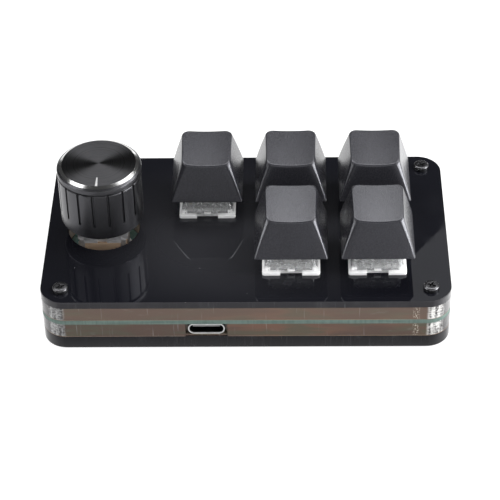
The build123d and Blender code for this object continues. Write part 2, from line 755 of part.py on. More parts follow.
def make_knob_shell():
    """Turned shell: bevelled rim, groove under the rim, fluted skirt, smooth lower band, hollow inside."""
    rim = knob_diameter / 2
    skirt = knob_skirt_diameter / 2
    seat = knob_disc_diameter / 2 + knob_disc_clearance
    hollow = knob_hollow_diameter / 2
    lip = rim - knob_rim_bevel
    bevel_z = knob_height - knob_bevel_height
    rim_z = bevel_z - knob_rim_height
    groove_z = rim_z - knob_groove_height
    roof_z = knob_height - knob_disc_thickness - knob_roof
    seat_z = knob_height - knob_disc_thickness
    round_start = skirt - knob_bottom_round
    inside = Polyline((round_start, 0), (hollow, 0), (hollow, roof_z), (0, roof_z), (0, seat_z), (seat, seat_z),
                      (seat, knob_height), (lip, knob_height))
    outside = Polyline((lip, knob_height), (rim, bevel_z), (rim, rim_z), (skirt - knob_groove_depth, rim_z),
                       (skirt - knob_groove_depth, groove_z), (skirt, groove_z), (skirt, knob_bottom_round))
    bottom = CenterArc((round_start, knob_bottom_round), knob_bottom_round, 270, 90)
    profile = make_face([*inside.edges(), *outside.edges(), bottom])
    shell = revolve(Plane.XZ * profile, Axis.Z)
    flute_height = groove_z - knob_band_height
    for index in range(knob_flute_count):
        flute = block(knob_flute_width, 2 * knob_flute_depth, flute_height, 0, -skirt, knob_band_height)
        shell -= Rot(0, 0, first_flute_angle + 360 * index / knob_flute_count) * flute
    return Pos(encoder_x, encoder_y, knob_z) * shell


def make_knob_disc():
    """Thin spun disc let into the top of the shell, with the pointer's slot milled in it."""
    z = knob_z + knob_height - knob_disc_thickness
    disc = rod(knob_disc_diameter, knob_disc_thickness, encoder_x, encoder_y, z)
    slot_z = knob_z + knob_height - pointer_depth
    slot_y = encoder_y - knob_disc_diameter / 2
    return disc - block(pointer_width, 2 * pointer_length, pointer_depth, encoder_x, slot_y, slot_z)


def make_knob_pointer():
    """White inlay that fills the slot in the disc."""
    z = knob_z + knob_height - pointer_depth
    width = pointer_width - 2 * pointer_fit
    slot_y = encoder_y - knob_disc_diameter / 2
    bar = block(width, 2 * (pointer_length - pointer_fit), pointer_depth, encoder_x, slot_y, z)
    return bar & rod(knob_disc_diameter, pointer_depth, encoder_x, encoder_y, z)


def make_knob_core():
    """Plastic core under the shell's roof, with a D-shaped bore for the shaft."""
    roof_z = knob_z + knob_height - knob_disc_thickness - knob_roof
    core_z = knob_z + knob_core_lift
    core = rod(knob_core_diameter, roof_z - core_z, encoder_x, encoder_y, core_z)
    bore_top = shaft_top_z + shaft_end_gap
    bore = rod(shaft_diameter + 2 * knob_bore_fit, bore_top - core_z, encoder_x, encoder_y, core_z)
    flat_z = shaft_top_z - shaft_flat_length + shaft_end_gap
    bore -= shaft_flat_cut(knob_bore_fit, flat_z, bore_top - flat_z)
    spokes = block(knob_hollow_diameter - 2 * knob_core_fit, knob_spoke_width, roof_z - core_z, 0, 0, core_z)
    spokes += Rot(0, 0, 90) * spokes
    core += Pos(encoder_x, encoder_y, 0) * spokes
    return core - bore


static_parts = {
    "bottom_cover": make_bottom_cover(),
    "rubber_feet": [make_foot(sx * foot_x, sy * foot_y) for sx in (-1, 1) for sy in (-1, 1)],
    "case_nuts": [make_nut(x, y) for x, y in screw_places],
    "case_screws": [make_screw(x, y) for x, y in screw_places],
    "lower_liner": with_usb_slot(spacer_ring(cover_top_z, liner_thickness), cover_top_z, liner_thickness),
    "lower_spacer": with_usb_slot(
        spacer_ring(lower_spacer_z, lower_spacer_thickness), lower_spacer_z, lower_spacer_thickness
    ),
    "pcb": make_pcb(),
    "upper_liner": cutout_plate(pcb_top_z, liner_thickness, spacer_cutout_clearance),
    "upper_spacer": cutout_plate(upper_spacer_z, upper_spacer_thickness, spacer_cutout_clearance),
    "top_plate": cutout_plate(top_plate_z, top_plate_thickness, switch_cutout_clearance),
    "usb_shell": make_usb_shell(),
    "usb_insulator": make_usb_insulator(),
    "microcontroller": make_microcontroller(),
    "crystal": hung(crystal_width, crystal_depth, crystal_thickness, crystal_x, controller_y),
    "voltage_regulator": hung(regulator_width, regulator_depth, regulator_thickness, usb_x, regulator_y),
    "board_passives": make_passives(),
    "encoder_base": make_encoder_base(),
    "encoder_cover": make_encoder_cover(),
    "encoder_bushing": make_encoder_bushing(),
    "encoder_terminals": make_encoder_terminals(),
    "encoder_dome": make_encoder_dome(),
    "encoder_plunger": make_encoder_plunger(),
    "knob_shaft": make_knob_shaft(),
    "knob_shell": make_knob_shell(),
    "knob_disc": make_knob_disc(),
    "knob_pointer": make_knob_pointer(),
    "knob_core": make_knob_core(),
}

key_parts = {
    "switch_{}_base": make_switch_base(),
    "switch_{}_top": make_switch_top(),
    "switch_{}_contacts": make_switch_contacts(),
    "switch_{}_spring": make_switch_spring(),
    "switch_{}_slider": make_switch_slider(),
    "keycap_{}": make_keycap(),
}

for name, solids in static_parts.items():
    save(solids, name)

for number, (key_x, key_y) in enumerate(key_places, start=1):
    for name, solids in key_parts.items():
        if isinstance(solids, list):
            placed = [Pos(key_x, key_y, 0) * solid for solid in solids]
        else:
            placed = Pos(key_x, key_y, 0) * solids
        save(placed, name.format(number))

print("spring gap to itself", round(spring_pitch - spring_wire, 3), "mm")
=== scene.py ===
"""Looks of a five-key macro keypad with a turn-and-press knob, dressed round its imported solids.

Sizes in the classes are millimetres, apart from the lamps' sizes and the studio's distances, which are
metres. Meshes are written in metres, in the frame of the solids: +X to the right, +Y to the back, +Z up,
from the surface that the feet stand on.
"""

import json
import logging
import math
from dataclasses import dataclass, field
from enum import Enum
from typing import Callable, Iterable, Mapping, NamedTuple, Optional, Sequence, Union

import bmesh
import bpy
from mathutils import Matrix, Vector
from mathutils.geometry import tessellate_polygon

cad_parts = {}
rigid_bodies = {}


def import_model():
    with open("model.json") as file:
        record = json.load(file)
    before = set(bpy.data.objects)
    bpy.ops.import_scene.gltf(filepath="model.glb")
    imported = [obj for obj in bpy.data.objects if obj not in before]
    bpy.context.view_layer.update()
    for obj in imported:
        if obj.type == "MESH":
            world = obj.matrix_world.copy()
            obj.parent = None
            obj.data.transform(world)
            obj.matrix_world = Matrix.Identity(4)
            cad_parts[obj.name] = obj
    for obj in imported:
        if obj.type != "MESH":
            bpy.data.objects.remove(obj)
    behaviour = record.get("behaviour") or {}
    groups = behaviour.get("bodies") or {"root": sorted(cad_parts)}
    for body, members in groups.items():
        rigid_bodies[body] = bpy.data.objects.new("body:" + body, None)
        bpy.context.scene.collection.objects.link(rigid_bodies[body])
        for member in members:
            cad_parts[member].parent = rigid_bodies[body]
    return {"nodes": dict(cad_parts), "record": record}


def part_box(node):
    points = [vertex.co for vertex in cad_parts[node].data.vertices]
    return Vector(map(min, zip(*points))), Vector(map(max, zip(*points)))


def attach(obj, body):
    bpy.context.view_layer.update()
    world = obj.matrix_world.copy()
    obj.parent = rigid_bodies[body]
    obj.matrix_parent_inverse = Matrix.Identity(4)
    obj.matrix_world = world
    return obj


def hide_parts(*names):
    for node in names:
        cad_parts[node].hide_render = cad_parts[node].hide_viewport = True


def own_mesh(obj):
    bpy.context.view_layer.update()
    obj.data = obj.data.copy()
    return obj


for leftover in list(bpy.data.objects):
    bpy.data.objects.remove(leftover)
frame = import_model()

log = logging.getLogger("keypad")

Flat = tuple[float, float]
Point = tuple[float, float, float]
Outline = Callable[[float], list[Flat]]
Colour = tuple[float, float, float]
Material = bpy.types.Material
Node = bpy.types.Node
Socket = bpy.types.NodeSocket
Thing = bpy.types.Object
Tree = bpy.types.NodeTree
Feed = Union[float, str, Sequence[float], Socket]
Inputs = Mapping[Union[str, int], Feed]


class Key(NamedTuple):
    """Number and upright axis of a key."""

    number: int
    x: float
    y: float


class Corner(NamedTuple):
    """A corner of a box."""

    x: float
    y: float
    z: float


class Place(NamedTuple):
    """Where a copy goes, with its turn in radians about the upright axis."""

    x: float
    y: float
    z: float
    turn: float = 0.0


MM = 0.001
KEYS = (
    Key(1, -10.0, 11.075), Key(2, 11.1, 11.075), Key(3, 32.2, 11.075),
    Key(4, 11.1, -11.075), Key(5, 32.2, -11.075),
)
KNOB_AXIS: Flat = (-36.0, 0.2)
PLATE_TOP = 15.7
BOARD_TOP = 9.9
QUARTER = math.pi / 2
LEAST_RADIUS = 0.02


class Body(Enum):
    """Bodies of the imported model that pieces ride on."""

    CASE = "case"
    KNOB = "knob"
    KEY_1 = "key_1"
    KEY_2 = "key_2"
    KEY_3 = "key_3"
    KEY_4 = "key_4"
    KEY_5 = "key_5"


class Slot(Enum):
    """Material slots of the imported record."""

    BLACK_ACRYLIC = "black_acrylic"
    CLEAR_ACRYLIC = "clear_acrylic"
    KRAFT_PAPER = "kraft_paper"
    TEAL_BOARD = "teal_board"
    FOOT_RUBBER = "foot_rubber"
    NUT_STEEL = "nut_steel"
    BLACK_SCREWS = "black_screws"
    PLATED_STEEL = "plated_steel"
    SPRING_STEEL = "spring_steel"
    CONTACT_METAL = "contact_metal"
    BLACK_MOULDING = "black_moulding"
    CHIP_BLACK = "chip_black"
    CERAMIC_PARTS = "ceramic_parts"
    TAN_MOULDING = "tan_moulding"
    ZINC_NECK = "zinc_neck"
    MILKY_HOUSING = "milky_housing"
    CLEAR_HOUSING = "clear_housing"
    SLIDER_MOULDING = "slider_moulding"
    KEYCAP_BLACK = "keycap_black"
    BLACK_ANODISED = "black_anodised"
    SPUN_BLACK = "spun_black"
    WHITE_INLAY = "white_inlay"


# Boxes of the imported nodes, in millimetres
def box(node: str) -> tuple[Corner, Corner]:
    """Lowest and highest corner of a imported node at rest."""
    low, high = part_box(node)
    return Corner(*(part / MM for part in low)), Corner(*(part / MM for part in high))


def heights(node: str) -> Flat:
    """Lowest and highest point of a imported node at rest."""
    low, high = box(node)
    return low.z, high.z


# Outlines: each takes an inset, positive into the material, and gives its points anticlockwise
def at_corners(x: float, y: float) -> list[Flat]:
    """The four places at plus and minus x and y."""
    return [(sx * x, sy * y) for sx in (-1, 1) for sy in (-1, 1)]


def circle(radius: float, steps: int) -> list[Flat]:
    """Points of a circle on the origin."""
    turns = [2 * math.pi * step / steps for step in range(steps)]
    return [(radius * math.cos(turn), radius * math.sin(turn)) for turn in turns]


def rounded_rectangle(
    width: float, depth: float, radius: float, steps: int = 10, hole: bool = False
) -> Outline:
    """Outline of a rectangle with round corners, centred on the origin.

    Args:
        width: Size along X.
        depth: Size along Y.
        radius: Corner radius at inset 0.
        steps: Segments in each corner.
        hole: Whether material lies outside, so that an inset makes the outline larger.

    Returns:
        A function from inset to points.
    """

    def points(inset: float) -> list[Flat]:
        """Go round the corners, from the back right.

        Args:
            inset: Distance from the outline into the material.

        Returns:
            The points at that inset.
        """
        shift = -inset if hole else inset
        turn = max(radius - shift, LEAST_RADIUS)
        half_x = width / 2 - shift - turn
        half_y = depth / 2 - shift - turn
        found = []
        for corner, (sx, sy) in enumerate(((1, 1), (-1, 1), (-1, -1), (1, -1))):
            for step in range(steps + 1):
                angle = QUARTER * (corner + step / steps)
                found.append((sx * half_x + turn * math.cos(angle), sy * half_y + turn * math.sin(angle)))
        return found

    return points


def round_outline(radius: float, steps: int = 24, hole: bool = False) -> Outline:
    """Outline of a circle on the origin; an inset shrinks it, or widens it where it is a hole."""
    return lambda inset: circle(radius + inset if hole else radius - inset, steps)


def cross_outline(span: float, arm: float) -> Outline:
    """Outline of an upright cross that is a hole, so an inset widens it.

    Args:
        span: Length of each bar of the cross.
        arm: Width of each bar.

    Returns:
        A function from inset to points.
    """

    def points(inset: float) -> list[Flat]:
        """Points at an inset, from the right arm."""
        far, near = span / 2 + inset, arm / 2 + inset
        half = [(far, -near), (far, near), (near, near), (near, far), (-near, far), (-near, near)]
        return [*half, *((-x, -y) for x, y in half)]

    return points


def moved(outline: Outline, x: float, y: float) -> Outline:
    """The same outline about another centre."""
    return lambda inset: [(px + x, py + y) for px, py in outline(inset)]


def quarter_round(radius: float, steps: int) -> list[Flat]:
    """Steps over a rounded edge, from the flat face to the wall.

    Args:
        radius: Radius of the edge, 0 for a plain edge.
        steps: Segments over the edge.

    Returns:
        Inset and rise of each step.
    """
    if radius <= 0:
        return [(0.0, 0.0)]
    angles = [QUARTER * step / steps for step in range(steps + 1)]
    return [(radius * (1 - math.sin(angle)), radius * (1 - math.cos(angle))) for angle in angles]


def link(name: str, data: bpy.types.ID) -> Thing:
    """Put a mesh, lamp or camera in the scene as a new object."""
    made = bpy.data.objects.new(name, data)
    bpy.context.scene.collection.objects.link(made)
    return made


def weld(
    mesh: bpy.types.Mesh, distance: float, sharp: float, soften: float = 0.0, soften_from: float = 0.0,
    segments: int = 1,
) -> None:
    """Merge the doubles of a mesh, turn its faces outwards, round its edges and shade it.

    Args:
        mesh: The mesh to mend.
        distance: Merging distance in millimetres.
        sharp: Angle in degrees past which an edge stays crisp.
        soften: Width of a bevel along the sharp edges, 0 for none.
        soften_from: Angle in degrees past which an edge gets that bevel.
        segments: Segments of that bevel.
    """
    shape = bmesh.new()
    shape.from_mesh(mesh)
    bmesh.ops.remove_doubles(shape, verts=shape.verts, dist=distance * MM)
    bmesh.ops.dissolve_degenerate(shape, dist=0.0001 * MM, edges=shape.edges)
    bmesh.ops.recalc_face_normals(shape, faces=shape.faces)
    if soften > 0:
        limit = math.radians(soften_from)
        edges = [edge for edge in shape.edges if edge.is_manifold and edge.calc_face_angle(0.0) > limit]
        bmesh.ops.bevel(
            shape, geom=edges, offset=soften * MM, segments=segments, profile=0.5, affect="EDGES",
            clamp_overlap=True,
        )
    for edge in shape.edges:
        edge.smooth = True
    shape.to_mesh(mesh)
    shape.free()
    mesh.shade_smooth()
    mesh.set_sharp_from_angle(angle=math.radians(sharp))


class MeshDraft:
    """Points in millimetres and faces with a finish number, until they become an object."""

    def __init__(self) -> None:
        """Start an empty draft."""
        self.points: list[Point] = []
        self.faces: list[tuple[int, ...]] = []
        self.finishes: list[int] = []

    def ring(self, points: Iterable[Point]) -> list[int]:
        """Add points.

        Args:
            points: The points, in order.

        Returns:
            Their numbers.
        """
        start = len(self.points)
        self.points.extend(points)
        return list(range(start, len(self.points)))

    def level(self, points: Iterable[Flat], height: float, x: float = 0.0, y: float = 0.0) -> list[int]:
        """Add flat points at a height, moved by x and y, and give their numbers."""
        return self.ring([(px + x, py + y, height) for px, py in points])

    def face(self, corners: Iterable[int], finish: int = 0) -> None:
        """Add one face."""
        self.faces.append(tuple(corners))
        self.finishes.append(finish)

    def band(self, lower: Sequence[int], upper: Sequence[int], finish: int = 0, closed: bool = True) -> None:
        """Join two rings of as many points with quads.

        Args:
            lower: Numbers of the first ring.
            upper: Numbers of the second ring.
            finish: Finish of the new faces.
            closed: Whether the last point joins the first.
        """
        count = len(lower)
        for index in range(count if closed else count - 1):
            after = (index + 1) % count
            self.face((lower[index], lower[after], upper[after], upper[index]), finish)

    def bands(self, rings: Sequence[Sequence[int]], finish: int = 0, closed: bool = True) -> None:
        """Join each ring to the next."""
        for lower, upper in zip(rings, rings[1:]):
            self.band(lower, upper, finish, closed)

    def prism(self, base: Iterable[Point], roof: Iterable[Point]) -> None:
        """Add a closed solid between two rings.

        Args:
            base: Points of the lower ring.
            roof: As many points of the upper ring.
        """
        low, high = self.ring(base), self.ring(roof)
        self.band(low, high)
        self.face(low)
        self.face(high)

    def block(self, first: Point, second: Point) -> None:
        """Add a box, for a piece whose edges are then rounded.

        Args:
            first: One corner.
            second: The corner across from it.
        """
        (x0, x1), (y0, y1), (z0, z1) = (sorted(pair) for pair in zip(first, second))
        flat = ((x0, y0), (x1, y0), (x1, y1), (x0, y1))
        self.prism([(x, y, z0) for x, y in flat], [(x, y, z1) for x, y in flat])

    def lathe(self, profile: Sequence[Flat], x: float = 0.0, y: float = 0.0, steps: int = 48) -> None:
        """Turn a closed profile of (radius, height) pairs about an upright axis.

        Args:
            profile: Radius and height of each point, round the section.
            x: Axis position along X.
            y: Axis position along Y.
            steps: Segments round the axis.
        """
        rings = [self.level(circle(radius, steps), height, x, y) for radius, height in profile]
        self.bands([*rings, rings[0]])

    def layer(
        self, outer: Outline, holes: Sequence[Outline], bottom: float, top: float, rounds: Flat = (0.1, 0.1),
        hole_round: float = 0.1, steps: int = 3, finishes: tuple[int, int, int] = (0, 0, 0),
    ) -> None:
        """Add a flat plate with holes and rounded edges.

        Args:
            outer: Outline of the plate.
            holes: Outlines of its holes.
            bottom: Height of the underside.
            top: Height of the upper face.
            rounds: Edge radius of the outline below and above.
            hole_round: Edge radius of the holes, above and below.
            steps: Segments over each rounded edge.
            finishes: Finish of the upper face, the walls and the underside.
        """
        caps: dict[float, list[list[int]]] = {bottom: [], top: []}
        for number, outline in enumerate([outer, *holes]):
            low, high = (hole_round, hole_round) if number else rounds
            levels = [(inset, bottom + rise) for inset, rise in quarter_round(low, steps)]
            levels += [(inset, top - rise) for inset, rise in reversed(quarter_round(high, steps))]
            rings = [self.level(outline(inset), height) for inset, height in levels]
            self.bands(rings, finishes[1])
            caps[bottom].append(rings[0])
            caps[top].append(rings[-1])
        for height, finish in ((bottom, finishes[2]), (top, finishes[0])):
            flat = [number for loop in caps[height] for number in loop]
            corners = [[Vector(self.points[number]) for number in loop] for loop in caps[height]]
            for triangle in tessellate_polygon(corners):
                self.face([flat[corner] for corner in triangle], finish)

    def build(
        self, name: str, materials: Sequence[Material] = (), sharp: float = 20.0, soften: float = 0.0,
        soften_from: float = 35.0, segments: int = 2,
    ) -> Thing:
        """Make the object, with its doubles merged and its faces outwards.

        Args:
            name: Name of the object.
            materials: Materials in order of finish number.
            sharp: Angle in degrees past which an edge stays crisp.
            soften: Width of a bevel along the sharp edges, 0 for none.
            soften_from: Angle in degrees past which an edge gets that bevel.
            segments: Segments of that bevel.

        Returns:
            The new object, at the origin.
        """
        mesh = bpy.data.meshes.new(name)
        mesh.from_pydata([Vector(point) * MM for point in self.points], [], self.faces)
        for polygon, finish in zip(mesh.polygons, self.finishes):
            polygon.material_index = finish
        weld(mesh, 0.0005, sharp, soften, soften_from, segments)
        for material in materials:
            mesh.materials.append(material)
        return link(name, mesh)


# Shader and geometry trees
class Graph:
    """Short calls for placing and joining the nodes of one tree."""

    def __init__(self, tree: Tree) -> None:
        """Work on the tree of a material or a group."""
        self.tree = tree

    def feed(self, socket: Socket, value: Feed) -> None:
        """Give a socket its value.

        Args:
            socket: The input.
            value: An output to join it to, or the number, vector, colour or name to set.
        """
        if isinstance(value, Socket):
            self.tree.links.new(value, socket)
        else:
            socket.default_value = (*value, 1.0) if socket.type == "RGBA" else value

    def join(self, node: Node, inputs: Inputs) -> None:
        """Feed inputs of a node, found by name or number."""
        for key, value in inputs.items():
            self.feed(node.inputs[key], value)

    def add(self, kind: str, inputs: Optional[Inputs] = None, **settings: object) -> Node:
        """Add a node.

        Args:
            kind: Type of the node.
            inputs: Values or outputs for its inputs, by name or number.
            **settings: Properties of the node.

        Returns:
            The node.
        """
        node = self.tree.nodes.new(kind)
        for key, value in settings.items():
            setattr(node, key, value)
        self.join(node, inputs or {})
        return node

    def math(self, operation: str, *values: Feed) -> Socket:
        """One Math node on one, two or three values."""
        return self.add("ShaderNodeMath", dict(enumerate(values)), operation=operation).outputs[0]

    def ramp(
        self, value: Feed, low: Feed, high: Feed, to_low: float = 0.0, to_high: float = 1.0,
        way: str = "SMOOTHSTEP",
    ) -> Socket:
        """Map a value from one range to another, smoothly unless the way says otherwise."""
        inputs = dict(enumerate((value, low, high, to_low, to_high)))
        return self.add("ShaderNodeMapRange", inputs, interpolation_type=way).outputs[0]

    def blend(self, share: Feed, first: Feed, second: Feed) -> Socket:
        """Mix two colours; a share of 1 gives the second."""
        return self.add("ShaderNodeMix", {0: share, 6: first, 7: second}, data_type="RGBA").outputs[2]

    def split(self, vector: Feed) -> Sequence[Socket]:
        """The three parts of a vector."""
        return self.add("ShaderNodeSeparateXYZ", {0: vector}).outputs

    def length(self, vector: Feed) -> Socket:
        """Length of a vector."""
        return self.add("ShaderNodeVectorMath", {0: vector}, operation="LENGTH").outputs["Value"]

    def place(self, centre: Point = (0, 0, 0), scale: Point = (1, 1, 1)) -> Socket:
        """Object coordinates for a pattern.

        Args:
            centre: Centre of the pattern in millimetres.
            scale: Stretch along each axis.

        Returns:
            The coordinates about that centre.
        """
        shift = [-part * MM * stretch for part, stretch in zip(centre, scale)]
        own = self.add("ShaderNodeTexCoord").outputs["Object"]
        return self.add("ShaderNodeMapping", {"Vector": own, "Location": shift, "Scale": scale}).outputs[0]

    def noise(self, vector: Feed, scale: Feed, detail: float = 2.0) -> Socket:
        """Value of a noise texture; scale is in cells for each metre."""
        inputs = {"Vector": vector, "Scale": scale, "Detail": detail}
        return self.add("ShaderNodeTexNoise", inputs).outputs["Fac"]

    def bump(self, height: Feed, depth: Feed) -> Socket:
        """Normal bent by a height; depth is in metres."""
        inputs = {"Height": height, "Distance": depth, "Strength": 1.0}
        return self.add("ShaderNodeBump", inputs).outputs["Normal"]

    def effect(self, tree: Tree, vector: Feed, **values: Feed) -> Node:
        """Place a shared group over a vector, with its own values."""
        return self.add("ShaderNodeGroup", {"Vector": vector, **values}, node_tree=tree)

    def mask(self, tree: Tree, vector: Feed, **values: Feed) -> Socket:
        """Mask of a shared group over a vector."""
        return self.effect(tree, vector, **values).outputs["Mask"]


class EffectGroups:
    """Shader effects that several finishes share, each built once."""

    def __init__(self) -> None:
        """Build every group."""
        self.grain = self._grain()
        self.specks = self._specks()
        self.cut_marks = self._cut_marks()
        self.turned_rings = self._turned_rings()
        self.cloud = self._cloud()

    @staticmethod
    def _start(name: str, **inputs: float) -> tuple[Graph, Mapping[str, Socket]]:
        """Make a group with a Vector input and number inputs.

        Args:
            name: Name of the group.
            **inputs: Number inputs with their usual values.

        Returns:
            The graph and the group's inputs by name.
        """
        tree = bpy.data.node_groups.new(name, "ShaderNodeTree")
        tree.interface.new_socket(name="Vector", in_out="INPUT", socket_type="NodeSocketVector")
        for label, value in inputs.items():
            socket = tree.interface.new_socket(name=label, in_out="INPUT", socket_type="NodeSocketFloat")
            socket.default_value = value
        graph = Graph(tree)
        return graph, graph.add("NodeGroupInput").outputs

    @staticmethod
    def _end(graph: Graph, **outputs: Socket) -> Tree:
        """Give a group its outputs.

        Args:
            graph: The group's graph.
            **outputs: A Normal, which is a vector, and masks, which are numbers.

        Returns:
            The finished group.
        """
        for label in outputs:
            kind = "NodeSocketVector" if label == "Normal" else "NodeSocketFloat"
            graph.tree.interface.new_socket(name=label, in_out="OUTPUT", socket_type=kind)
        graph.add("NodeGroupOutput", outputs)
        return graph.tree

    def _grain(self) -> Tree:
        """Fine moulded grain: a bent normal and a light mask."""
        graph, given = self._start("moulded grain", Scale=9000.0, Depth=0.00001)
        value = graph.noise(given["Vector"], given["Scale"], 3.0)
        return self._end(graph, Normal=graph.bump(value, given["Depth"]), Mask=value)

    def _specks(self) -> Tree:
        """Stray dust: a mask of small round specks, few of the cells holding one."""
        graph, given = self._start("stray dust", Scale=500.0, Size=0.12, Share=0.1)
        cells = graph.add("ShaderNodeTexVoronoi", {"Vector": given["Vector"], "Scale": given["Scale"]})
        draws = graph.add("ShaderNodeSeparateColor", {0: cells.outputs["Color"]}).outputs
        chosen = graph.math("LESS_THAN", draws[0], given["Share"])
        size = graph.math("MULTIPLY", given["Size"], draws[1])
        near = graph.math("LESS_THAN", cells.outputs["Distance"], size)
        return self._end(graph, Mask=graph.math("MULTIPLY", chosen, near))

    def _cut_marks(self) -> Tree:
        """Upright marks of a laser on a cut edge: a bent normal and a streak mask."""
        graph, given = self._start("cut edge marks", Scale=2600.0, Depth=0.00001)
        upright = {0: given["Vector"], 1: (1.0, 1.0, 0.05)}
        stretch = graph.add("ShaderNodeVectorMath", upright, operation="MULTIPLY")
        value = graph.noise(stretch.outputs[0], given["Scale"])
        return self._end(graph, Normal=graph.bump(value, given["Depth"]), Mask=value)

    def _turned_rings(self) -> Tree:
        """Rings left by turning about the vector's upright axis: a bent normal and a ring mask."""
        graph, given = self._start("turned rings", Scale=5000.0, Depth=0.000004)
        x, y, _ = graph.split(given["Vector"])
        square = graph.math("MULTIPLY", x, x)
        reach = graph.math("SQRT", graph.math("MULTIPLY_ADD", y, y, square))
        waves = {"W": reach, "Scale": given["Scale"], "Detail": 3.0}
        value = graph.add("ShaderNodeTexNoise", waves, noise_dimensions="1D").outputs["Fac"]
        return self._end(graph, Normal=graph.bump(value, given["Depth"]), Mask=value)

    def _cloud(self) -> Tree:
        """Slow variation over a surface, such as smudges or uneven dye, as a mask."""
        graph, given = self._start("slow variation", Scale=120.0, Low=0.4, High=0.65)
        value = graph.noise(given["Vector"], given["Scale"], 4.0)
        return self._end(graph, Mask=graph.ramp(value, given["Low"], given["High"]))


class MaterialGraph(Graph):
    """Nodes of one material, with its shader and the shared effects at hand."""

    def __init__(self, material: Material, effects: EffectGroups) -> None:
        """Work on a material.

        Args:
            material: A new material with its nodes in use.
            effects: The shared shader groups.
        """
        super().__init__(material.node_tree)
        self.shader = material.node_tree.nodes["Principled BSDF"]
        self.effects = effects

    def coat(self, inputs: Inputs) -> None:
        """Feed inputs of the shader."""
        self.join(self.shader, inputs)

    def specks(self, vector: Feed, **values: Feed) -> Socket:
        """Mask of the stray dust."""
        return self.mask(self.effects.specks, vector, **values)

    def cloud(self, vector: Feed, **values: Feed) -> Socket:
        """Mask of the slow variation."""
        return self.mask(self.effects.cloud, vector, **values)


@dataclass(frozen=True)
class Finish:
    """What every finish has: its slot, its colour and its roughness."""

    slot: Slot
    colour: Colour
    roughness: float = 0.4

    def material(self, effects: EffectGroups, suffix: str = "") -> Material:
        """Build the material.

        Args:
            effects: The shared shader groups.
            suffix: Ending of the material's name.

        Returns:
            The material.
        """
        made = bpy.data.materials.new(self.slot.value + suffix)
        made.use_nodes = True
        graph = MaterialGraph(made, effects)
        graph.coat({"Base Color": self.colour, "Roughness": self.roughness})
        self.dress(graph)
        return made

    def dress(self, graph: MaterialGraph) -> None:
        """Join the finish's own nodes to the shader of a graph."""
        raise NotImplementedError


@dataclass(frozen=True)
class GlossSheet(Finish):
    """Polished black acrylic face with painted light, a lighter patch fading out from the middle, and
    smudges, stray dust and rare hairline scratch marks.
    """

    # Painted light: a lighter colour painted over the middle of the face, about a centre and fading out by
    # these reaches.
    painted_light: Colour = (0.021, 0.0212, 0.0245)
    painted_light_centre: Flat = (-2.0, -3.0)
    painted_light_reach: Flat = (34.0, 22.0)
    speck_colour: Colour = (0.45, 0.45, 0.46)
    gleam: Colour = (0.92, 0.94, 1.0)
    smudge_roughness: float = 0.07

    def dress(self, graph: MaterialGraph) -> None:
        """Join the sheet's nodes to the shader.

        Args:
            graph: Graph of the new material.
        """
        place = graph.place()
        specks = graph.specks(place, Scale=520.0, Size=0.04, Share=0.2)
        cloud = graph.cloud(place, Scale=70.0, Low=0.45, High=0.75)
        # Painted light: the face is painted lighter about the centre, fading out towards the edges.
        shrink = (1 / self.painted_light_reach[0], 1 / self.painted_light_reach[1], 0.0)
        spread = graph.length(graph.place((*self.painted_light_centre, 0), shrink))
        painted_light = graph.blend(graph.ramp(spread, 0.3 * MM, 1.5 * MM, 1.0, 0.0), self.colour, self.painted_light)
        scratch = graph.noise(graph.place(scale=(1.0, 0.02, 1.0)), 900.0, 1.0)
        smudge = graph.math("MULTIPLY_ADD", cloud, self.smudge_roughness, self.roughness)
        graph.coat({
            "IOR": 1.49,
            "Specular Tint": self.gleam,
            "Base Color": graph.blend(specks, painted_light, self.speck_colour),
            "Roughness": graph.math("MAXIMUM", smudge, graph.math("MULTIPLY", specks, 0.7)),
            "Normal": graph.bump(scratch, 0.0000004),
        })


@dataclass(frozen=True)
class CutEdge(Finish):
    """Laser-cut edge of a sheet, streaked and dusty, with painted shade darkening the bottom plate's edges.
    """

    pale: Colour = (0.07, 0.07, 0.075)
    dust: Colour = (0.5, 0.5, 0.5)
    # Painted shade: the bottom plate's edges are painted this darker colour.
    lowest: Colour = (0.006, 0.0058, 0.0075)
    painted_shade_top: float = 5.0

    def dress(self, graph: MaterialGraph) -> None:
        """Join the edge's nodes to the shader.

        Args:
            graph: Graph of the new material.
        """
        place = graph.place()
        marks = graph.effect(graph.effects.cut_marks, place, Scale=2200.0, Depth=0.000006)
        cloud = graph.cloud(place, Scale=160.0, Low=0.5, High=0.7)
        streak = graph.ramp(marks.outputs["Mask"], 0.55, 0.8)
        share = graph.math("MULTIPLY_ADD", cloud, 0.12, graph.math("MULTIPLY", streak, 0.18))
        specks = graph.specks(place, Scale=900.0, Size=0.12, Share=0.025)
        # Painted shade: edges below this height get the darker colour.
        below = graph.math("LESS_THAN", graph.split(place)[2], self.painted_shade_top * MM)
        tint = graph.blend(share, graph.blend(below, self.colour, self.lowest), self.pale)
        graph.coat({
            "Specular IOR Level": 0.25,
            "Base Color": graph.blend(specks, tint, self.dust),
            "Roughness": graph.math("MULTIPLY_ADD", streak, 0.2, self.roughness),
            "Normal": marks.outputs["Normal"],
        })


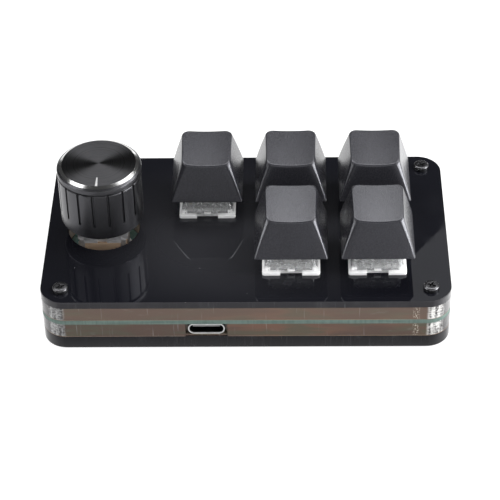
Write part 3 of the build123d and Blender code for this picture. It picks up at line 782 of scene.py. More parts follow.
@dataclass(frozen=True)
class ClearSheet(Finish):
    """Clear acrylic whose cut edges show the brown masking paper, with a painted reflection, pale and
    mottled, at the plate's corners, painted glints and highlights on the edges, and painted light in the well
    round the encoder.
    """

    warm: Colour = (0.17, 0.085, 0.055)
    cool: Colour = (0.075, 0.075, 0.05)
    frost_and_glint: Colour = (0.42, 0.42, 0.42)
    # Painted light and shade of the corners: a brighter pale on the right, a dark rim and a dark base.
    painted_lit_frost: Colour = (0.85, 0.84, 0.82)
    painted_rim_shade: Colour = (0.09, 0.088, 0.09)
    painted_corner_dark: Colour = (0.05, 0.048, 0.05)
    # Painted light: the upper sheet's edges are painted lighter and warmer than the lower sheet's.
    upper: Colour = (0.21, 0.15, 0.115)
    painted_lighter_from: float = 9.5
    # Painted highlight: a pale streaky patch near the right screw.
    painted_streak_x: float = 41.3
    painted_streak_colour: Colour = (0.6, 0.55, 0.46)
    corner_start: Flat = (43.6, 21.0)
    corner_fade: float = 1.2
    painted_rim_from: float = 47.4
    rim_fade: float = 0.9
    see_through: float = 0.3
    well: Flat = KNOB_AXIS
    well_radius: float = 9.4
    # Painted light: the sheet is painted pale inside the well round the encoder, where it lies in shade.
    painted_well_light: Colour = (0.92, 0.78, 0.68)

    def _seen_paper(self, graph: MaterialGraph, marks: Node) -> Socket:
        """Brown of the paper behind the sheet's straight edges, with painted glints, a painted highlight
        streak near the right screw and the upper sheet painted lighter.

        Args:
            graph: Graph of the new material.
            marks: The placed group of cut marks.

        Returns:
            The colour.
        """
        layered = graph.place((40, 7, 3), (1.0, 1.0, 6.0))
        warm = graph.cloud(layered, Scale=45.0, Low=0.42, High=0.62)
        cool = graph.cloud(layered, Scale=90.0, Low=0.45, High=0.65)
        smear = graph.noise(graph.place(scale=(1.0, 1.0, 4.0)), 260.0, 3.0)
        tint = graph.blend(graph.math("MULTIPLY", warm, 0.7), self.colour, self.warm)
        tint = graph.blend(graph.math("MULTIPLY", cool, 0.8), tint, self.cool)
        tint = graph.blend(graph.math("MULTIPLY", graph.ramp(smear, 0.62, 0.8), 0.1), tint, self.frost_and_glint)
        # Painted glints: the brightest cut marks are painted pale.
        painted_glint = graph.math("MULTIPLY", graph.ramp(marks.outputs["Mask"], 0.66, 0.76), 0.35)
        tint = graph.blend(painted_glint, tint, self.frost_and_glint)
        x, _, z = graph.split(graph.place())
        # Painted light: lighter and warmer above this height.
        upper = graph.math("MULTIPLY", graph.math("GREATER_THAN", z, self.painted_lighter_from * MM), 0.3)
        tint = graph.blend(upper, tint, self.upper)
        # Painted highlight: pale streaks in a narrow band near the right screw.
        aside = graph.math("ABSOLUTE", graph.math("SUBTRACT", x, self.painted_streak_x * MM))
        patch = graph.ramp(aside, 0.3 * MM, MM, 0.8, 0.0)
        streak_noise = graph.noise(graph.place(scale=(1.0, 1.0, 0.7)), 2600.0, 3.0)
        painted_streaks = graph.math("MULTIPLY", patch, graph.ramp(streak_noise, 0.48, 0.64))
        return graph.blend(painted_streaks, tint, self.painted_streak_colour)

    def _corner_frost_and_reflection(self, graph: MaterialGraph, marks: Node) -> Socket:
        """Cut marks on the round corners with a painted reflection: pale mottling over a painted dark base,
        painted brighter on the right, with painted shade at the very rim.

        Args:
            graph: Graph of the new material.
            marks: The placed group of cut marks.

        Returns:
            The colour.
        """
        x = graph.split(graph.place())[0]
        dark, black = self.painted_rim_from * MM, (self.painted_rim_from + self.rim_fade) * MM
        rim = graph.ramp(graph.math("ABSOLUTE", x), dark, black)
        flakes = graph.noise(graph.place(scale=(1.0, 1.0, 1.5)), 1700.0, 4.0)
        streaks = graph.ramp(graph.math("ADD", flakes, marks.outputs["Mask"]), 0.75, 1.3)
        # Painted light: the pale is painted brighter on the right half.
        painted_corner_tint = graph.blend(graph.ramp(x, 0.0, 0.03), self.frost_and_glint, self.painted_lit_frost)
        return graph.blend(streaks, self.painted_corner_dark, graph.blend(rim, painted_corner_tint, self.painted_rim_shade))

    def dress(self, graph: MaterialGraph) -> None:
        """Join the sheet's nodes to the shader.

        Args:
            graph: Graph of the new material.
        """
        place = graph.place()
        marks = graph.effect(graph.effects.cut_marks, place, Scale=1500.0, Depth=0.000012)
        shares = []
        for part, start in zip(graph.split(place), self.corner_start):
            reach = graph.math("ABSOLUTE", part)
            shares.append(graph.ramp(reach, start * MM, (start + self.corner_fade) * MM))
        corner = graph.math("MULTIPLY", *shares)
        edge = graph.blend(corner, self._seen_paper(graph, marks), self._corner_frost_and_reflection(graph, marks))
        # Painted light: a pale colour painted inside the well round the encoder.
        around = graph.length(graph.place((*self.well, 0), (1.0, 1.0, 0.0)))
        near = graph.math("LESS_THAN", around, self.well_radius * MM)
        graph.coat({
            "IOR": 1.49,
            "Transmission Weight": self.see_through,
            "Base Color": graph.blend(near, edge, self.painted_well_light),
            "Normal": marks.outputs["Normal"],
        })


@dataclass(frozen=True)
class Paper(Finish):
    """Brown masking paper seen against the clear sheet, uneven and faintly fibrous."""

    warm: Colour = (0.2, 0.13, 0.08)
    cool: Colour = (0.12, 0.12, 0.1)
    fibre_colour: Colour = (0.3, 0.25, 0.2)

    def dress(self, graph: MaterialGraph) -> None:
        """Join the paper's nodes to the shader.

        Args:
            graph: Graph of the new material.
        """
        warm = graph.cloud(graph.place(), Scale=45.0, Low=0.42, High=0.62)
        cool = graph.cloud(graph.place((40, 7, 3)), Scale=90.0, Low=0.5, High=0.7)
        fibre = graph.noise(graph.place(scale=(0.3, 1.0, 1.0)), 4000.0, 4.0)
        tint = graph.blend(warm, self.colour, self.warm)
        tint = graph.blend(graph.math("MULTIPLY", cool, 0.6), tint, self.cool)
        share = graph.math("MULTIPLY", graph.ramp(fibre, 0.4, 0.8), 0.35)
        tint = graph.blend(share, tint, self.fibre_colour)
        graph.coat({"Base Color": tint, "Normal": graph.bump(fibre, 0.00002)})


@dataclass(frozen=True)
class Laminate(Finish):
    """Circuit board: glossy mask on its faces, bare teal laminate on its cut edges."""

    edge: Colour = (0.09, 0.134, 0.118)
    edge_dark: Colour = (0.056, 0.09, 0.077)

    def dress(self, graph: MaterialGraph) -> None:
        """Join the board's nodes to the shader.

        Args:
            graph: Graph of the new material.
        """
        place = graph.place()
        normal = graph.add("ShaderNodeNewGeometry").outputs["Normal"]
        wall = graph.math("LESS_THAN", graph.math("ABSOLUTE", graph.split(normal)[2]), 0.5)
        marks = graph.effect(graph.effects.cut_marks, place, Scale=3000.0, Depth=0.00002)
        plies = graph.noise(graph.place(scale=(0.02, 0.02, 1.0)), 4500.0, 1.0)
        shade = graph.math("MULTIPLY", graph.math("ADD", plies, marks.outputs["Mask"]), 0.5)
        edge = graph.blend(graph.ramp(shade, 0.35, 0.6), self.edge_dark, self.edge)
        cloud = graph.cloud(place, Scale=90.0, Low=0.4, High=0.7)
        face = graph.blend(graph.math("MULTIPLY", cloud, 0.5), self.colour, self.edge_dark)
        graph.coat({
            "Base Color": graph.blend(wall, face, edge),
            "Roughness": graph.math("MULTIPLY_ADD", wall, 0.45, self.roughness),
            "Normal": marks.outputs["Normal"],
        })


@dataclass(frozen=True)
class Moulded(Finish):
    """Moulded plastic or rubber with a fine grain, slow shade variation and a little dust."""

    grain_scale: float = 9000.0
    grain_depth: float = 0.000008
    variation: float = 0.15
    dust: float = 0.0
    scatter: float = 0.0
    scatter_reach: float = 0.8
    gleam: Colour = (1.0, 1.0, 1.0)
    dust_colour: Colour = (0.3, 0.3, 0.3)

    def dress(self, graph: MaterialGraph) -> None:
        """Join the moulding's nodes to the shader.

        Args:
            graph: Graph of the new material.
        """
        place = graph.place()
        grain = graph.effect(graph.effects.grain, place, Scale=self.grain_scale, Depth=self.grain_depth)
        cloud = graph.cloud(place, Scale=150.0, Low=0.35, High=0.7)
        lighter = tuple(channel * (1 + 2 * self.variation) for channel in self.colour)
        tint = graph.blend(graph.math("MULTIPLY", cloud, 0.7), self.colour, lighter)
        if self.dust > 0:
            specks = graph.specks(place, Scale=700.0, Size=0.07, Share=self.dust)
            tint = graph.blend(specks, tint, self.dust_colour)
        if self.scatter > 0:
            graph.coat({
                "Subsurface Weight": self.scatter,
                "Subsurface Radius": (1.0, 1.0, 1.0),
                "Subsurface Scale": self.scatter_reach * MM,
            })
        graph.coat({
            "Specular Tint": self.gleam,
            "Base Color": tint,
            "Roughness": graph.math("MULTIPLY_ADD", grain.outputs["Mask"], 0.12, self.roughness - 0.06),
            "Normal": grain.outputs["Normal"],
        })


@dataclass(frozen=True)
class ClearMoulding(Finish):
    """Clear switch housing, faintly clouded, with flow lines."""

    see_through: float = 0.8

    def dress(self, graph: MaterialGraph) -> None:
        """Join the housing's nodes to the shader.

        Args:
            graph: Graph of the new material.
        """
        place = graph.place()
        marks = graph.effect(graph.effects.cut_marks, place, Scale=700.0, Depth=0.00002)
        cloud = graph.cloud(place, Scale=500.0, Low=0.45, High=0.6)
        graph.coat({
            "IOR": 1.5,
            "Transmission Weight": self.see_through,
            "Roughness": graph.math("MULTIPLY_ADD", cloud, 0.25, self.roughness),
            "Normal": marks.outputs["Normal"],
        })


@dataclass(frozen=True)
class PlatedMetal(Finish):
    """Stamped, drawn or turned metal; rings are drawn about an axis where the piece was turned; painted shade
    can darken it behind a given depth.
    """

    metallic: float = 1.0
    axis: Optional[Flat] = None
    tarnish: float = 0.25
    # Painted shade: the metal is painted this dark colour behind the given depth.
    painted_shade_behind: Optional[float] = None
    dark: Colour = (0.03, 0.03, 0.03)

    def dress(self, graph: MaterialGraph) -> None:
        """Join the metal's nodes to the shader.

        Args:
            graph: Graph of the new material.
        """
        place = graph.place()
        cloud = graph.cloud(place, Scale=500.0, Low=0.4, High=0.7)
        darker = tuple(channel * (1 - self.tarnish) for channel in self.colour)
        tint = graph.blend(cloud, self.colour, darker)
        if self.painted_shade_behind is not None:
            # Painted shade behind this depth.
            behind = graph.math("GREATER_THAN", graph.split(place)[1], self.painted_shade_behind * MM)
            tint = graph.blend(behind, tint, self.dark)
        if self.axis is None:
            drawn = graph.place(scale=(1.0, 1.0, 0.15))
            marks = graph.effect(graph.effects.grain, drawn, Scale=6000.0, Depth=0.000004)
        else:
            centred = graph.place((*self.axis, 0))
            marks = graph.effect(graph.effects.turned_rings, centred, Scale=3500.0, Depth=0.00001)
        graph.coat({
            "Metallic": self.metallic,
            "Base Color": tint,
            "Roughness": graph.math("MULTIPLY_ADD", cloud, 0.15, self.roughness),
            "Normal": marks.outputs["Normal"],
        })


@dataclass(frozen=True)
class AnodisedMetal(Finish):
    """Black anodised aluminium of the knob, satin, with turning rings about its axis."""

    axis: Flat = KNOB_AXIS
    ring_depth: float = 0.000003
    anisotropic: float = 0.0
    metallic: float = 1.0
    sheen: Colour = (0.06, 0.06, 0.065)
    dust_colour: Colour = (0.35, 0.35, 0.35)

    def dress(self, graph: MaterialGraph) -> None:
        """Join the metal's nodes to the shader.

        Args:
            graph: Graph of the new material.
        """
        centred = graph.place((*self.axis, 0))
        rings = graph.effect(graph.effects.turned_rings, centred, Scale=4200.0, Depth=self.ring_depth)
        specks = graph.specks(centred, Scale=600.0, Size=0.06, Share=0.06)
        ringed = graph.blend(graph.ramp(rings.outputs["Mask"], 0.45, 0.65), self.colour, self.sheen)
        graph.coat({
            "Metallic": self.metallic,
            "IOR": 1.7,
            "Anisotropic": self.anisotropic,
            "Anisotropic Rotation": 0.25,
            "Base Color": graph.blend(specks, ringed, self.dust_colour),
            "Roughness": graph.math("MULTIPLY_ADD", rings.outputs["Mask"], 0.12, self.roughness - 0.06),
            "Normal": rings.outputs["Normal"],
        })
        if self.anisotropic > 0:
            tangent = graph.add("ShaderNodeTangent", direction_type="RADIAL", axis="Z")
            graph.coat({"Tangent": tangent.outputs[0]})


@dataclass(frozen=True)
class FiredCeramic(Finish):
    """Small board parts: fired bodies with tinned ends along X."""

    centre_x: float = 0.0
    body_half: float = 0.5
    tin: Colour = (0.7, 0.7, 0.7)

    def dress(self, graph: MaterialGraph) -> None:
        """Join the parts' nodes to the shader.

        Args:
            graph: Graph of the new material.
        """
        x = graph.split(graph.place((self.centre_x, 0, 0)))[0]
        tinned = graph.math("GREATER_THAN", graph.math("ABSOLUTE", x), self.body_half * MM)
        grain = graph.effect(graph.effects.grain, graph.place(), Scale=9000.0, Depth=0.00001)
        tint = graph.blend(tinned, self.colour, self.tin)
        graph.coat({"Base Color": tint, "Metallic": tinned, "Normal": grain.outputs["Normal"]})


class FinishLibrary:
    """Every material of the keypad, built once and found by its slot."""

    def __init__(self) -> None:
        """Build the materials."""
        effects = EffectGroups()
        passives = box("board_passives")
        finishes = [
            GlossSheet(Slot.BLACK_ACRYLIC, (0.005, 0.0052, 0.0075), 0.015),
            ClearSheet(Slot.CLEAR_ACRYLIC, (0.09, 0.056, 0.043), 0.08),
            Paper(Slot.KRAFT_PAPER, (0.145, 0.1, 0.075), 0.85),
            # The board's face colour is set light, painting light into its shaded face round the encoder.
            Laminate(Slot.TEAL_BOARD, (0.3, 0.52, 0.48), 0.25),
            Moulded(Slot.FOOT_RUBBER, (0.02, 0.02, 0.02), 0.8, 5000.0, 0.00003),
            PlatedMetal(Slot.NUT_STEEL, (0.55, 0.55, 0.56), 0.3),
            PlatedMetal(Slot.BLACK_SCREWS, (0.09, 0.09, 0.095), 0.16, metallic=0.95),
            PlatedMetal(Slot.PLATED_STEEL, (0.62, 0.62, 0.63), 0.3, metallic=0.7),
            PlatedMetal(Slot.SPRING_STEEL, (0.68, 0.68, 0.69), 0.2),
            PlatedMetal(Slot.CONTACT_METAL, (0.8, 0.62, 0.36), 0.25),
            Moulded(Slot.BLACK_MOULDING, (0.02, 0.02, 0.02), 0.5),
            Moulded(Slot.CHIP_BLACK, (0.025, 0.025, 0.028), 0.6, 12000.0, 0.00001),
            FiredCeramic(Slot.CERAMIC_PARTS, (0.35, 0.26, 0.18), 0.5, (passives[0].x + passives[1].x) / 2),
            Moulded(Slot.TAN_MOULDING, (0.32, 0.23, 0.16), 0.5, variation=0.2),
            PlatedMetal(Slot.ZINC_NECK, (0.6, 0.6, 0.61), 0.3, axis=KNOB_AXIS),
            Moulded(Slot.MILKY_HOUSING, (0.95, 0.95, 0.955), 0.35, 6000.0, 0.000004, 0.03, scatter=0.25),
            ClearMoulding(Slot.CLEAR_HOUSING, (0.93, 0.94, 0.95), 0.06),
            Moulded(Slot.SLIDER_MOULDING, (0.02, 0.02, 0.022), 0.4),
            Moulded(
                Slot.KEYCAP_BLACK, (0.0135, 0.0135, 0.0165), 0.27, 7000.0, 0.000014, 0.12, 0.05,
                gleam=(0.92, 0.93, 1.0),
            ),
            AnodisedMetal(Slot.BLACK_ANODISED, (0.055, 0.055, 0.06), 0.28, anisotropic=0.8, metallic=0.9),
            AnodisedMetal(Slot.SPUN_BLACK, (0.05, 0.05, 0.052), 0.3, ring_depth=0.000004, anisotropic=0.9),
            Moulded(Slot.WHITE_INLAY, (0.4, 0.4, 0.4), 0.5, variation=0.03),
        ]
        self._materials = {finish.slot: finish.material(effects) for finish in finishes}
        bevel = AnodisedMetal(
            Slot.BLACK_ANODISED, (0.5, 0.5, 0.5), 0.16, ring_depth=0.000001, sheen=(0.6, 0.6, 0.6)
        )
        self.knob_bevel = bevel.material(effects, "_bevel")
        solder = PlatedMetal(Slot.PLATED_STEEL, (0.92, 0.92, 0.92), 0.25, metallic=0.35)
        self.solder = solder.material(effects, "_solder")
        # Painted highlight: the socket's tongue is painted a lighter grey than its black moulding.
        tongue = Moulded(Slot.BLACK_MOULDING, (0.2, 0.2, 0.205), 0.3)
        self.tongue = tongue.material(effects, "_tongue")
        # Painted shade: the socket's shell is painted dark inside, behind its mouth.
        mouth = box("usb_shell")[0].y + 0.25
        socket = PlatedMetal(Slot.PLATED_STEEL, (0.85, 0.85, 0.85), 0.3, painted_shade_behind=mouth)
        self.socket = socket.material(effects, "_socket")
        edge = CutEdge(Slot.BLACK_ACRYLIC, (0.02, 0.0195, 0.0225), 0.12)
        self.acrylic_edge = edge.material(effects, "_edge")

    def get(self, slot: Slot) -> Material:
        """The material of a slot."""
        return self._materials[slot]

    def dress_nodes(self) -> None:
        """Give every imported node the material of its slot."""
        # The insulator gets the tongue's painted highlight and the shell its painted shade.
        special = {"usb_shell": self.socket, "usb_insulator": self.tongue}
        for entry in frame["record"]["subparts"]:
            node = entry["node"]
            materials = frame["nodes"][node].data.materials
            materials.clear()
            materials.append(special.get(node, self.get(Slot(entry["material_slot"]))))


class RepeatTrees:
    """Geometry Nodes trees for the pieces that repeat or follow a rule."""

    def __init__(self) -> None:
        """Build every tree."""
        self.copies = self._copies()
        self.turned_sectors = self._turned_sectors()
        self.coil = self._coil()

    @staticmethod
    def _start(name: str, **inputs: str) -> tuple[Graph, Mapping[str, Socket]]:
        """Make a tree with a Geometry input and output, a Material input and others.

        Args:
            name: Name of the tree.
            **inputs: The other inputs with their kinds.

        Returns:
            The graph and the tree's inputs by name.
        """
        tree = bpy.data.node_groups.new(name, "GeometryNodeTree")
        for label, kind in {"Geometry": "Geometry", **inputs, "Material": "Material"}.items():
            tree.interface.new_socket(name=label, in_out="INPUT", socket_type=f"NodeSocket{kind}")
        tree.interface.new_socket(name="Geometry", in_out="OUTPUT", socket_type="NodeSocketGeometry")
        graph = Graph(tree)
        return graph, graph.add("NodeGroupInput").outputs

    @staticmethod
    def _end(graph: Graph, given: Mapping[str, Socket], geometry: Socket) -> Tree:
        """End a tree in Realize Instances and Set Material.

        Args:
            graph: The tree's graph.
            given: The tree's inputs.
            geometry: What the tree has made.

        Returns:
            The finished tree.
        """
        realized = graph.add("GeometryNodeRealizeInstances", {"Geometry": geometry}).outputs["Geometry"]
        painted = graph.add("GeometryNodeSetMaterial", {"Geometry": realized, "Material": given["Material"]})
        graph.add("NodeGroupOutput", {"Geometry": painted.outputs["Geometry"]})
        return graph.tree

    @staticmethod
    def _instances(graph: Graph, points: Socket, piece: Socket, angle: Socket) -> Socket:
        """Copies of a piece at points.

        Args:
            graph: The tree's graph.
            points: Where the copies go.
            piece: The piece to copy.
            angle: Turn of each copy about the upright axis.

        Returns:
            The copies.
        """
        angles = graph.add("ShaderNodeCombineXYZ", {"Z": angle}).outputs[0]
        rotation = graph.add("FunctionNodeEulerToRotation", {0: angles}).outputs[0]
        inputs = {"Points": points, "Instance": piece, "Rotation": rotation}
        return graph.add("GeometryNodeInstanceOnPoints", inputs).outputs["Instances"]

    @staticmethod
    def _moved(graph: Graph, geometry: Socket, centre: Socket) -> Socket:
        """Geometry moved to a centre."""
        inputs = {"Geometry": geometry, "Translation": centre}
        return graph.add("GeometryNodeTransform", inputs).outputs["Geometry"]

    def _copies(self) -> Tree:
        """Copies of one piece at the carrier's points, each turned by the point's own angle."""
        graph, given = self._start("copies at points", Piece="Object")
        source = graph.add("GeometryNodeObjectInfo", {"Object": given["Piece"]}, transform_space="ORIGINAL")
        turn = graph.add("GeometryNodeInputNamedAttribute", {"Name": "turn"}, data_type="FLOAT")
        piece, angle = source.outputs["Geometry"], turn.outputs["Attribute"]
        return self._end(graph, given, self._instances(graph, given["Geometry"], piece, angle))

    def _turned_sectors(self) -> Tree:
        """A sector repeated round the upright axis and moved to its centre."""
        graph, given = self._start("sectors round an axis", Count="Int", Start="Float", Centre="Vector")
        points = graph.add("GeometryNodePoints", {"Count": given["Count"]}).outputs[0]
        index = graph.add("GeometryNodeInputIndex").outputs[0]
        step = graph.math("DIVIDE", 2 * math.pi, given["Count"])
        angle = graph.math("MULTIPLY_ADD", index, step, given["Start"])
        copies = self._instances(graph, points, given["Geometry"], angle)
        return self._end(graph, given, self._moved(graph, copies, given["Centre"]))

    def _coil(self) -> Tree:
        """A compression spring with a closed turn at each end, standing on its centre."""
        graph, given = self._start(
            "compression spring", Turns="Float", Radius="Float", Wire="Float", Height="Float", Centre="Vector"
        )
        spiral = graph.add("GeometryNodeCurveSpiral", {
            "Resolution": 28, "Rotations": given["Turns"], "Start Radius": given["Radius"],
            "End Radius": given["Radius"], "Height": 0.0,
        })
        share = graph.add("GeometryNodeSplineParameter").outputs["Factor"]
        closed = graph.math("DIVIDE", 0.9, given["Turns"])
        last = graph.math("SUBTRACT", 1.0, closed)
        even = graph.math("MULTIPLY", graph.ramp(share, closed, last, way="LINEAR"), 0.75)
        rise = graph.math("MULTIPLY_ADD", graph.ramp(share, closed, last), 0.25, even)
        ends = graph.math("MULTIPLY", graph.math("SUBTRACT", share, 0.5), given["Wire"])
        height = graph.math("MULTIPLY_ADD", rise, given["Height"], ends)
        offset = graph.add("ShaderNodeCombineXYZ", {"Z": height}).outputs[0]
        turns = graph.add("GeometryNodeSetPosition", {"Geometry": spiral.outputs["Curve"], "Offset": offset})
        section = graph.add("GeometryNodeCurvePrimitiveCircle", {"Resolution": 8, "Radius": given["Wire"]})
        tube = graph.add("GeometryNodeCurveToMesh", {
            "Curve": turns.outputs["Geometry"], "Profile Curve": section.outputs["Curve"], "Fill Caps": True,
        })
        return self._end(graph, given, self._moved(graph, tube.outputs["Mesh"], given["Centre"]))

    @staticmethod
    def grow(carrier: Thing, tree: Tree, values: Mapping[str, object]) -> Thing:
        """Run a tree on a carrier and keep the result as its plain mesh.

        Args:
            carrier: Object whose mesh goes into the tree.
            tree: The tree to run.
            values: Values of the tree's inputs by name.

        Returns:
            The carrier with the tree's result as its mesh.
        """
        modifier = carrier.modifiers.new(tree.name, "NODES")
        modifier.node_group = tree
        for item in tree.interface.items_tree:
            if item.in_out == "INPUT" and item.name in values:
                modifier[item.identifier] = values[item.name]
        carrier.update_tag()
        bpy.context.view_layer.update()
        depsgraph = bpy.context.evaluated_depsgraph_get()
        made = bpy.data.meshes.new_from_object(carrier.evaluated_get(depsgraph), depsgraph=depsgraph)
        carrier.modifiers.clear()
        carrier.data = made
        made.name = carrier.name
        return carrier

    def scatter(self, name: str, prototype: Thing, places: Sequence[Place], material: Material) -> Thing:
        """One mesh of copies of a prototype, which is then removed.

        Args:
            name: Name of the new piece.
            prototype: The piece to repeat, built about the origin.
            places: Where the copies go.
            material: Material of the copies.

        Returns:
            The new piece.
        """
        mesh = bpy.data.meshes.new(name)
        mesh.from_pydata([Vector(place[:3]) * MM for place in places], [], [])
        turns = mesh.attributes.new("turn", "FLOAT", "POINT")
        turns.data.foreach_set("value", [place.turn for place in places])
        carrier = self.grow(link(name, mesh), self.copies, {"Piece": prototype, "Material": material})
        bpy.data.objects.remove(prototype)
        return carrier


@dataclass
class Assembly:
    """A sub-assembly: its finishes, its repeats and how its pieces join the model."""

    finishes: FinishLibrary
    trees: RepeatTrees

    def settle(self, piece: Thing, slot: Slot, replaced: str = "", body: Body = Body.CASE) -> Thing:
        """Make a piece ride on its body and hide the node that it stands for.

        Args:
            piece: The finished piece.
            slot: The record's slot for its finish; not used.
            replaced: Name of the node that it replaces, if any.
            body: The body that it moves with.

        Returns:
            The same piece.
        """
        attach(piece, body.value)
        if replaced:
            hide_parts(replaced)
        log.info("piece %s: %d faces", piece.name, len(piece.data.polygons))
        return piece

    def make(
        self, draft: MeshDraft, name: str, slot: Slot, replaced: str = "", body: Body = Body.CASE,
        more: Sequence[Material] = (), **shading: float,
    ) -> Thing:
        """Build a draft with its slot's material and settle it.

        Args:
            draft: The draft.
            name: Name of the piece.
            slot: Slot of its first material.
            replaced: Name of the node that it replaces, if any.
            body: The body that it moves with.
            more: Further materials, in order of finish number.
            **shading: How its edges are rounded and shaded, as MeshDraft.build takes them.

        Returns:
            The piece.
        """
        piece = draft.build(name, [self.finishes.get(slot), *more], **shading)
        return self.settle(piece, slot, replaced, body)

    def repeat(
        self, prototype: Thing, name: str, places: Sequence[Place], slot: Slot, replaced: str = "",
        material: Optional[Material] = None,
    ) -> None:
        """Copy a prototype to places, as one piece on the case.

        Args:
            prototype: The piece to repeat, built about the origin.
            name: Name of the new piece.
            places: Where the copies go.
            slot: The record's slot for its finish.
            replaced: Name of the node that it replaces, if any.
            material: Its material, where it isn't the slot's own.
        """
        piece = self.trees.scatter(name, prototype, places, material or self.finishes.get(slot))
        self.settle(piece, slot, replaced)


@dataclass
class Case(Assembly):
    """Stack of plates and spacers, with screws, nuts and feet."""

    width: float = 100.0
    depth: float = 57.0
    corner_radius: float = 6.0
    corner_steps: int = 14
    screw_at: Flat = (45.0, 23.7)
    screw_hole: float = 2.2
    edge_round: float = 0.12
    crisp: float = 12.0
    switch_cutout: float = 13.5
    spacer_cutout: float = 15.0
    encoder_hole: float = 18.0
    ring_wall: float = 4.4
    ring_inner_radius: float = 2.0
    air_gap: float = 0.02
    slot_middle: float = -9.6
    slot_width: float = 10.2
    lining_depths: Flat = (1.0, 1.9)
    lining_gap: float = 0.05
    strip_depths: Flat = (0.15, 0.9)
    strip_gap: float = 0.04
    head_diameter: float = 3.8
    head_height: float = 1.2
    recess_span: float = 2.1
    recess_arm: float = 0.5
    recess_depth: float = 0.6
    screw_turns: tuple[float, ...] = (0.35, 2.75, 1.15, 1.95)
    shank_radii: tuple[float, ...] = (0.7, 0.82, 0.98)
    shank_top: float = 0.02
    thread_pitch: float = 0.4
    thread_tip: float = 0.1
    thread_neck: float = 0.4
    thread_flank: float = 0.45
    nut_pocket: float = 2.0
    pocket_radius: float = 2.37
    nut_radius: float = 2.309
    nut_bore: float = 1.03
    foot_radius: float = 4.0

    def build(self) -> None:
        """Make every piece of the case."""
        self._plates()
        self._spacers()
        self._slot_lining()
        self._screws()
        self._nuts_and_feet()

    def _outline(self) -> Outline:
        """Outline of every layer."""
        return rounded_rectangle(self.width, self.depth, self.corner_radius, self.corner_steps)

    def _corner_holes(self, hole: Outline) -> list[Outline]:
        """The same hole at the four screws."""
        return [moved(hole, x, y) for x, y in at_corners(*self.screw_at)]

    def _screw_holes(self) -> list[Outline]:
        """Round holes at the four screws."""
        return self._corner_holes(round_outline(self.screw_hole / 2, 40, True))

    def _cutouts(self, width: float, radius: float) -> list[Outline]:
        """Square holes for the switches and the round one for the encoder."""
        holes = [moved(rounded_rectangle(width, width, radius, 4, True), key.x, key.y) for key in KEYS]
        return [*holes, moved(round_outline(self.encoder_hole / 2, 96, True), *KNOB_AXIS)]

    def _plates(self) -> None:
        """Black gloss plates above and below."""
        rim, outline, painted = self.edge_round, self._outline(), (0, 1, 0)
        upper, lower = MeshDraft(), MeshDraft()
        bottom, top = heights("top_plate")
        holes = [*self._screw_holes(), *self._cutouts(self.switch_cutout, 0.15)]
        upper.layer(outline, holes, bottom, top, (rim, rim), 0.1, finishes=painted)
        bottom, top = heights("bottom_cover")
        middle = bottom + self.nut_pocket
        pockets = self._corner_holes(round_outline(self.pocket_radius, 6, True))
        lower.layer(outline, pockets, bottom, middle, (rim, 0.0), 0.0, finishes=painted)
        lower.layer(outline, self._screw_holes(), middle, top, (0.0, rim), 0.0, finishes=painted)
        edge = [self.finishes.acrylic_edge]
        for draft, name, node in (
            (upper, "plate_top_gloss", "top_plate"), (lower, "plate_bottom_gloss", "bottom_cover")
        ):
            self.make(draft, name, Slot.BLACK_ACRYLIC, node, more=edge, sharp=self.crisp)

    def _spacers(self) -> None:
        """Clear layers, each with brown paper against its underside."""
        paper = self.finishes.get(Slot.KRAFT_PAPER)
        cutouts = self._cutouts(self.spacer_cutout, 0.3)
        layers = (("upper", self._outline(), cutouts), ("lower", self._ring_outline(), []))
        for level, outline, windows in layers:
            node = f"{level}_spacer"
            low, high = heights(node)
            low, high = low + self.air_gap, high - self.air_gap
            holes = [*self._screw_holes(), *windows]
            draft = MeshDraft()
            draft.layer(outline, holes, low, high, (0.04, 0.08), 0.04, finishes=(0, 0, 1))
            self.make(draft, f"clear_layer_{level}", Slot.CLEAR_ACRYLIC, node, more=[paper], sharp=self.crisp)

    def _slot_lining(self) -> None:
        """Walls of the socket's slot beside the socket, and the strip below it."""
        low, high = heights("lower_spacer")
        shell_low, shell_high = box("usb_shell")
        middle, half, front = self.slot_middle, self.slot_width / 2, -self.depth / 2
        lining, gap = MeshDraft(), self.lining_gap
        near, far = (front + depth for depth in self.lining_depths)
        for end, shell in ((-1, shell_low.x), (1, shell_high.x)):
            lining.block((middle + end * half, near, low + gap), (shell + end * gap, far, high - gap))
        near, far = (front + depth for depth in self.strip_depths)
        floor, ceiling = low + self.strip_gap, shell_low.z - self.strip_gap
        lining.block((middle - half, near, floor), (middle + half, far, ceiling))
        self.make(lining, "slot_lining", Slot.CLEAR_ACRYLIC, soften=0.05)

    def _ring_outline(self) -> Outline:
        """Outline of the lower ring: round the outside, in through the socket's slot, round the inside."""
        wall, half = self.ring_wall, self.slot_width / 2
        window = rounded_rectangle(
            self.width - 2 * wall, self.depth - 2 * wall, self.ring_inner_radius, 6, True
        )

        def from_front(loop: list[Flat]) -> list[Flat]:
            """The same points, starting right of the slot."""
            start = len(loop) * 3 // 4
            return [*loop[start:], *loop[:start]]

        def points(inset: float) -> list[Flat]:
            """Points at an inset, starting at the slot's right side."""
            outside, inside = from_front(self._outline()(inset)), from_front(window(inset))
            left, right = self.slot_middle - half - inset, self.slot_middle + half + inset
            outer_y, inner_y = min(y for _, y in outside), min(y for _, y in inside)
            loop = [(right, outer_y), *outside, (left, outer_y)]
            return [*loop, (left, inner_y), *reversed(inside), (right, inner_y)]

        return points

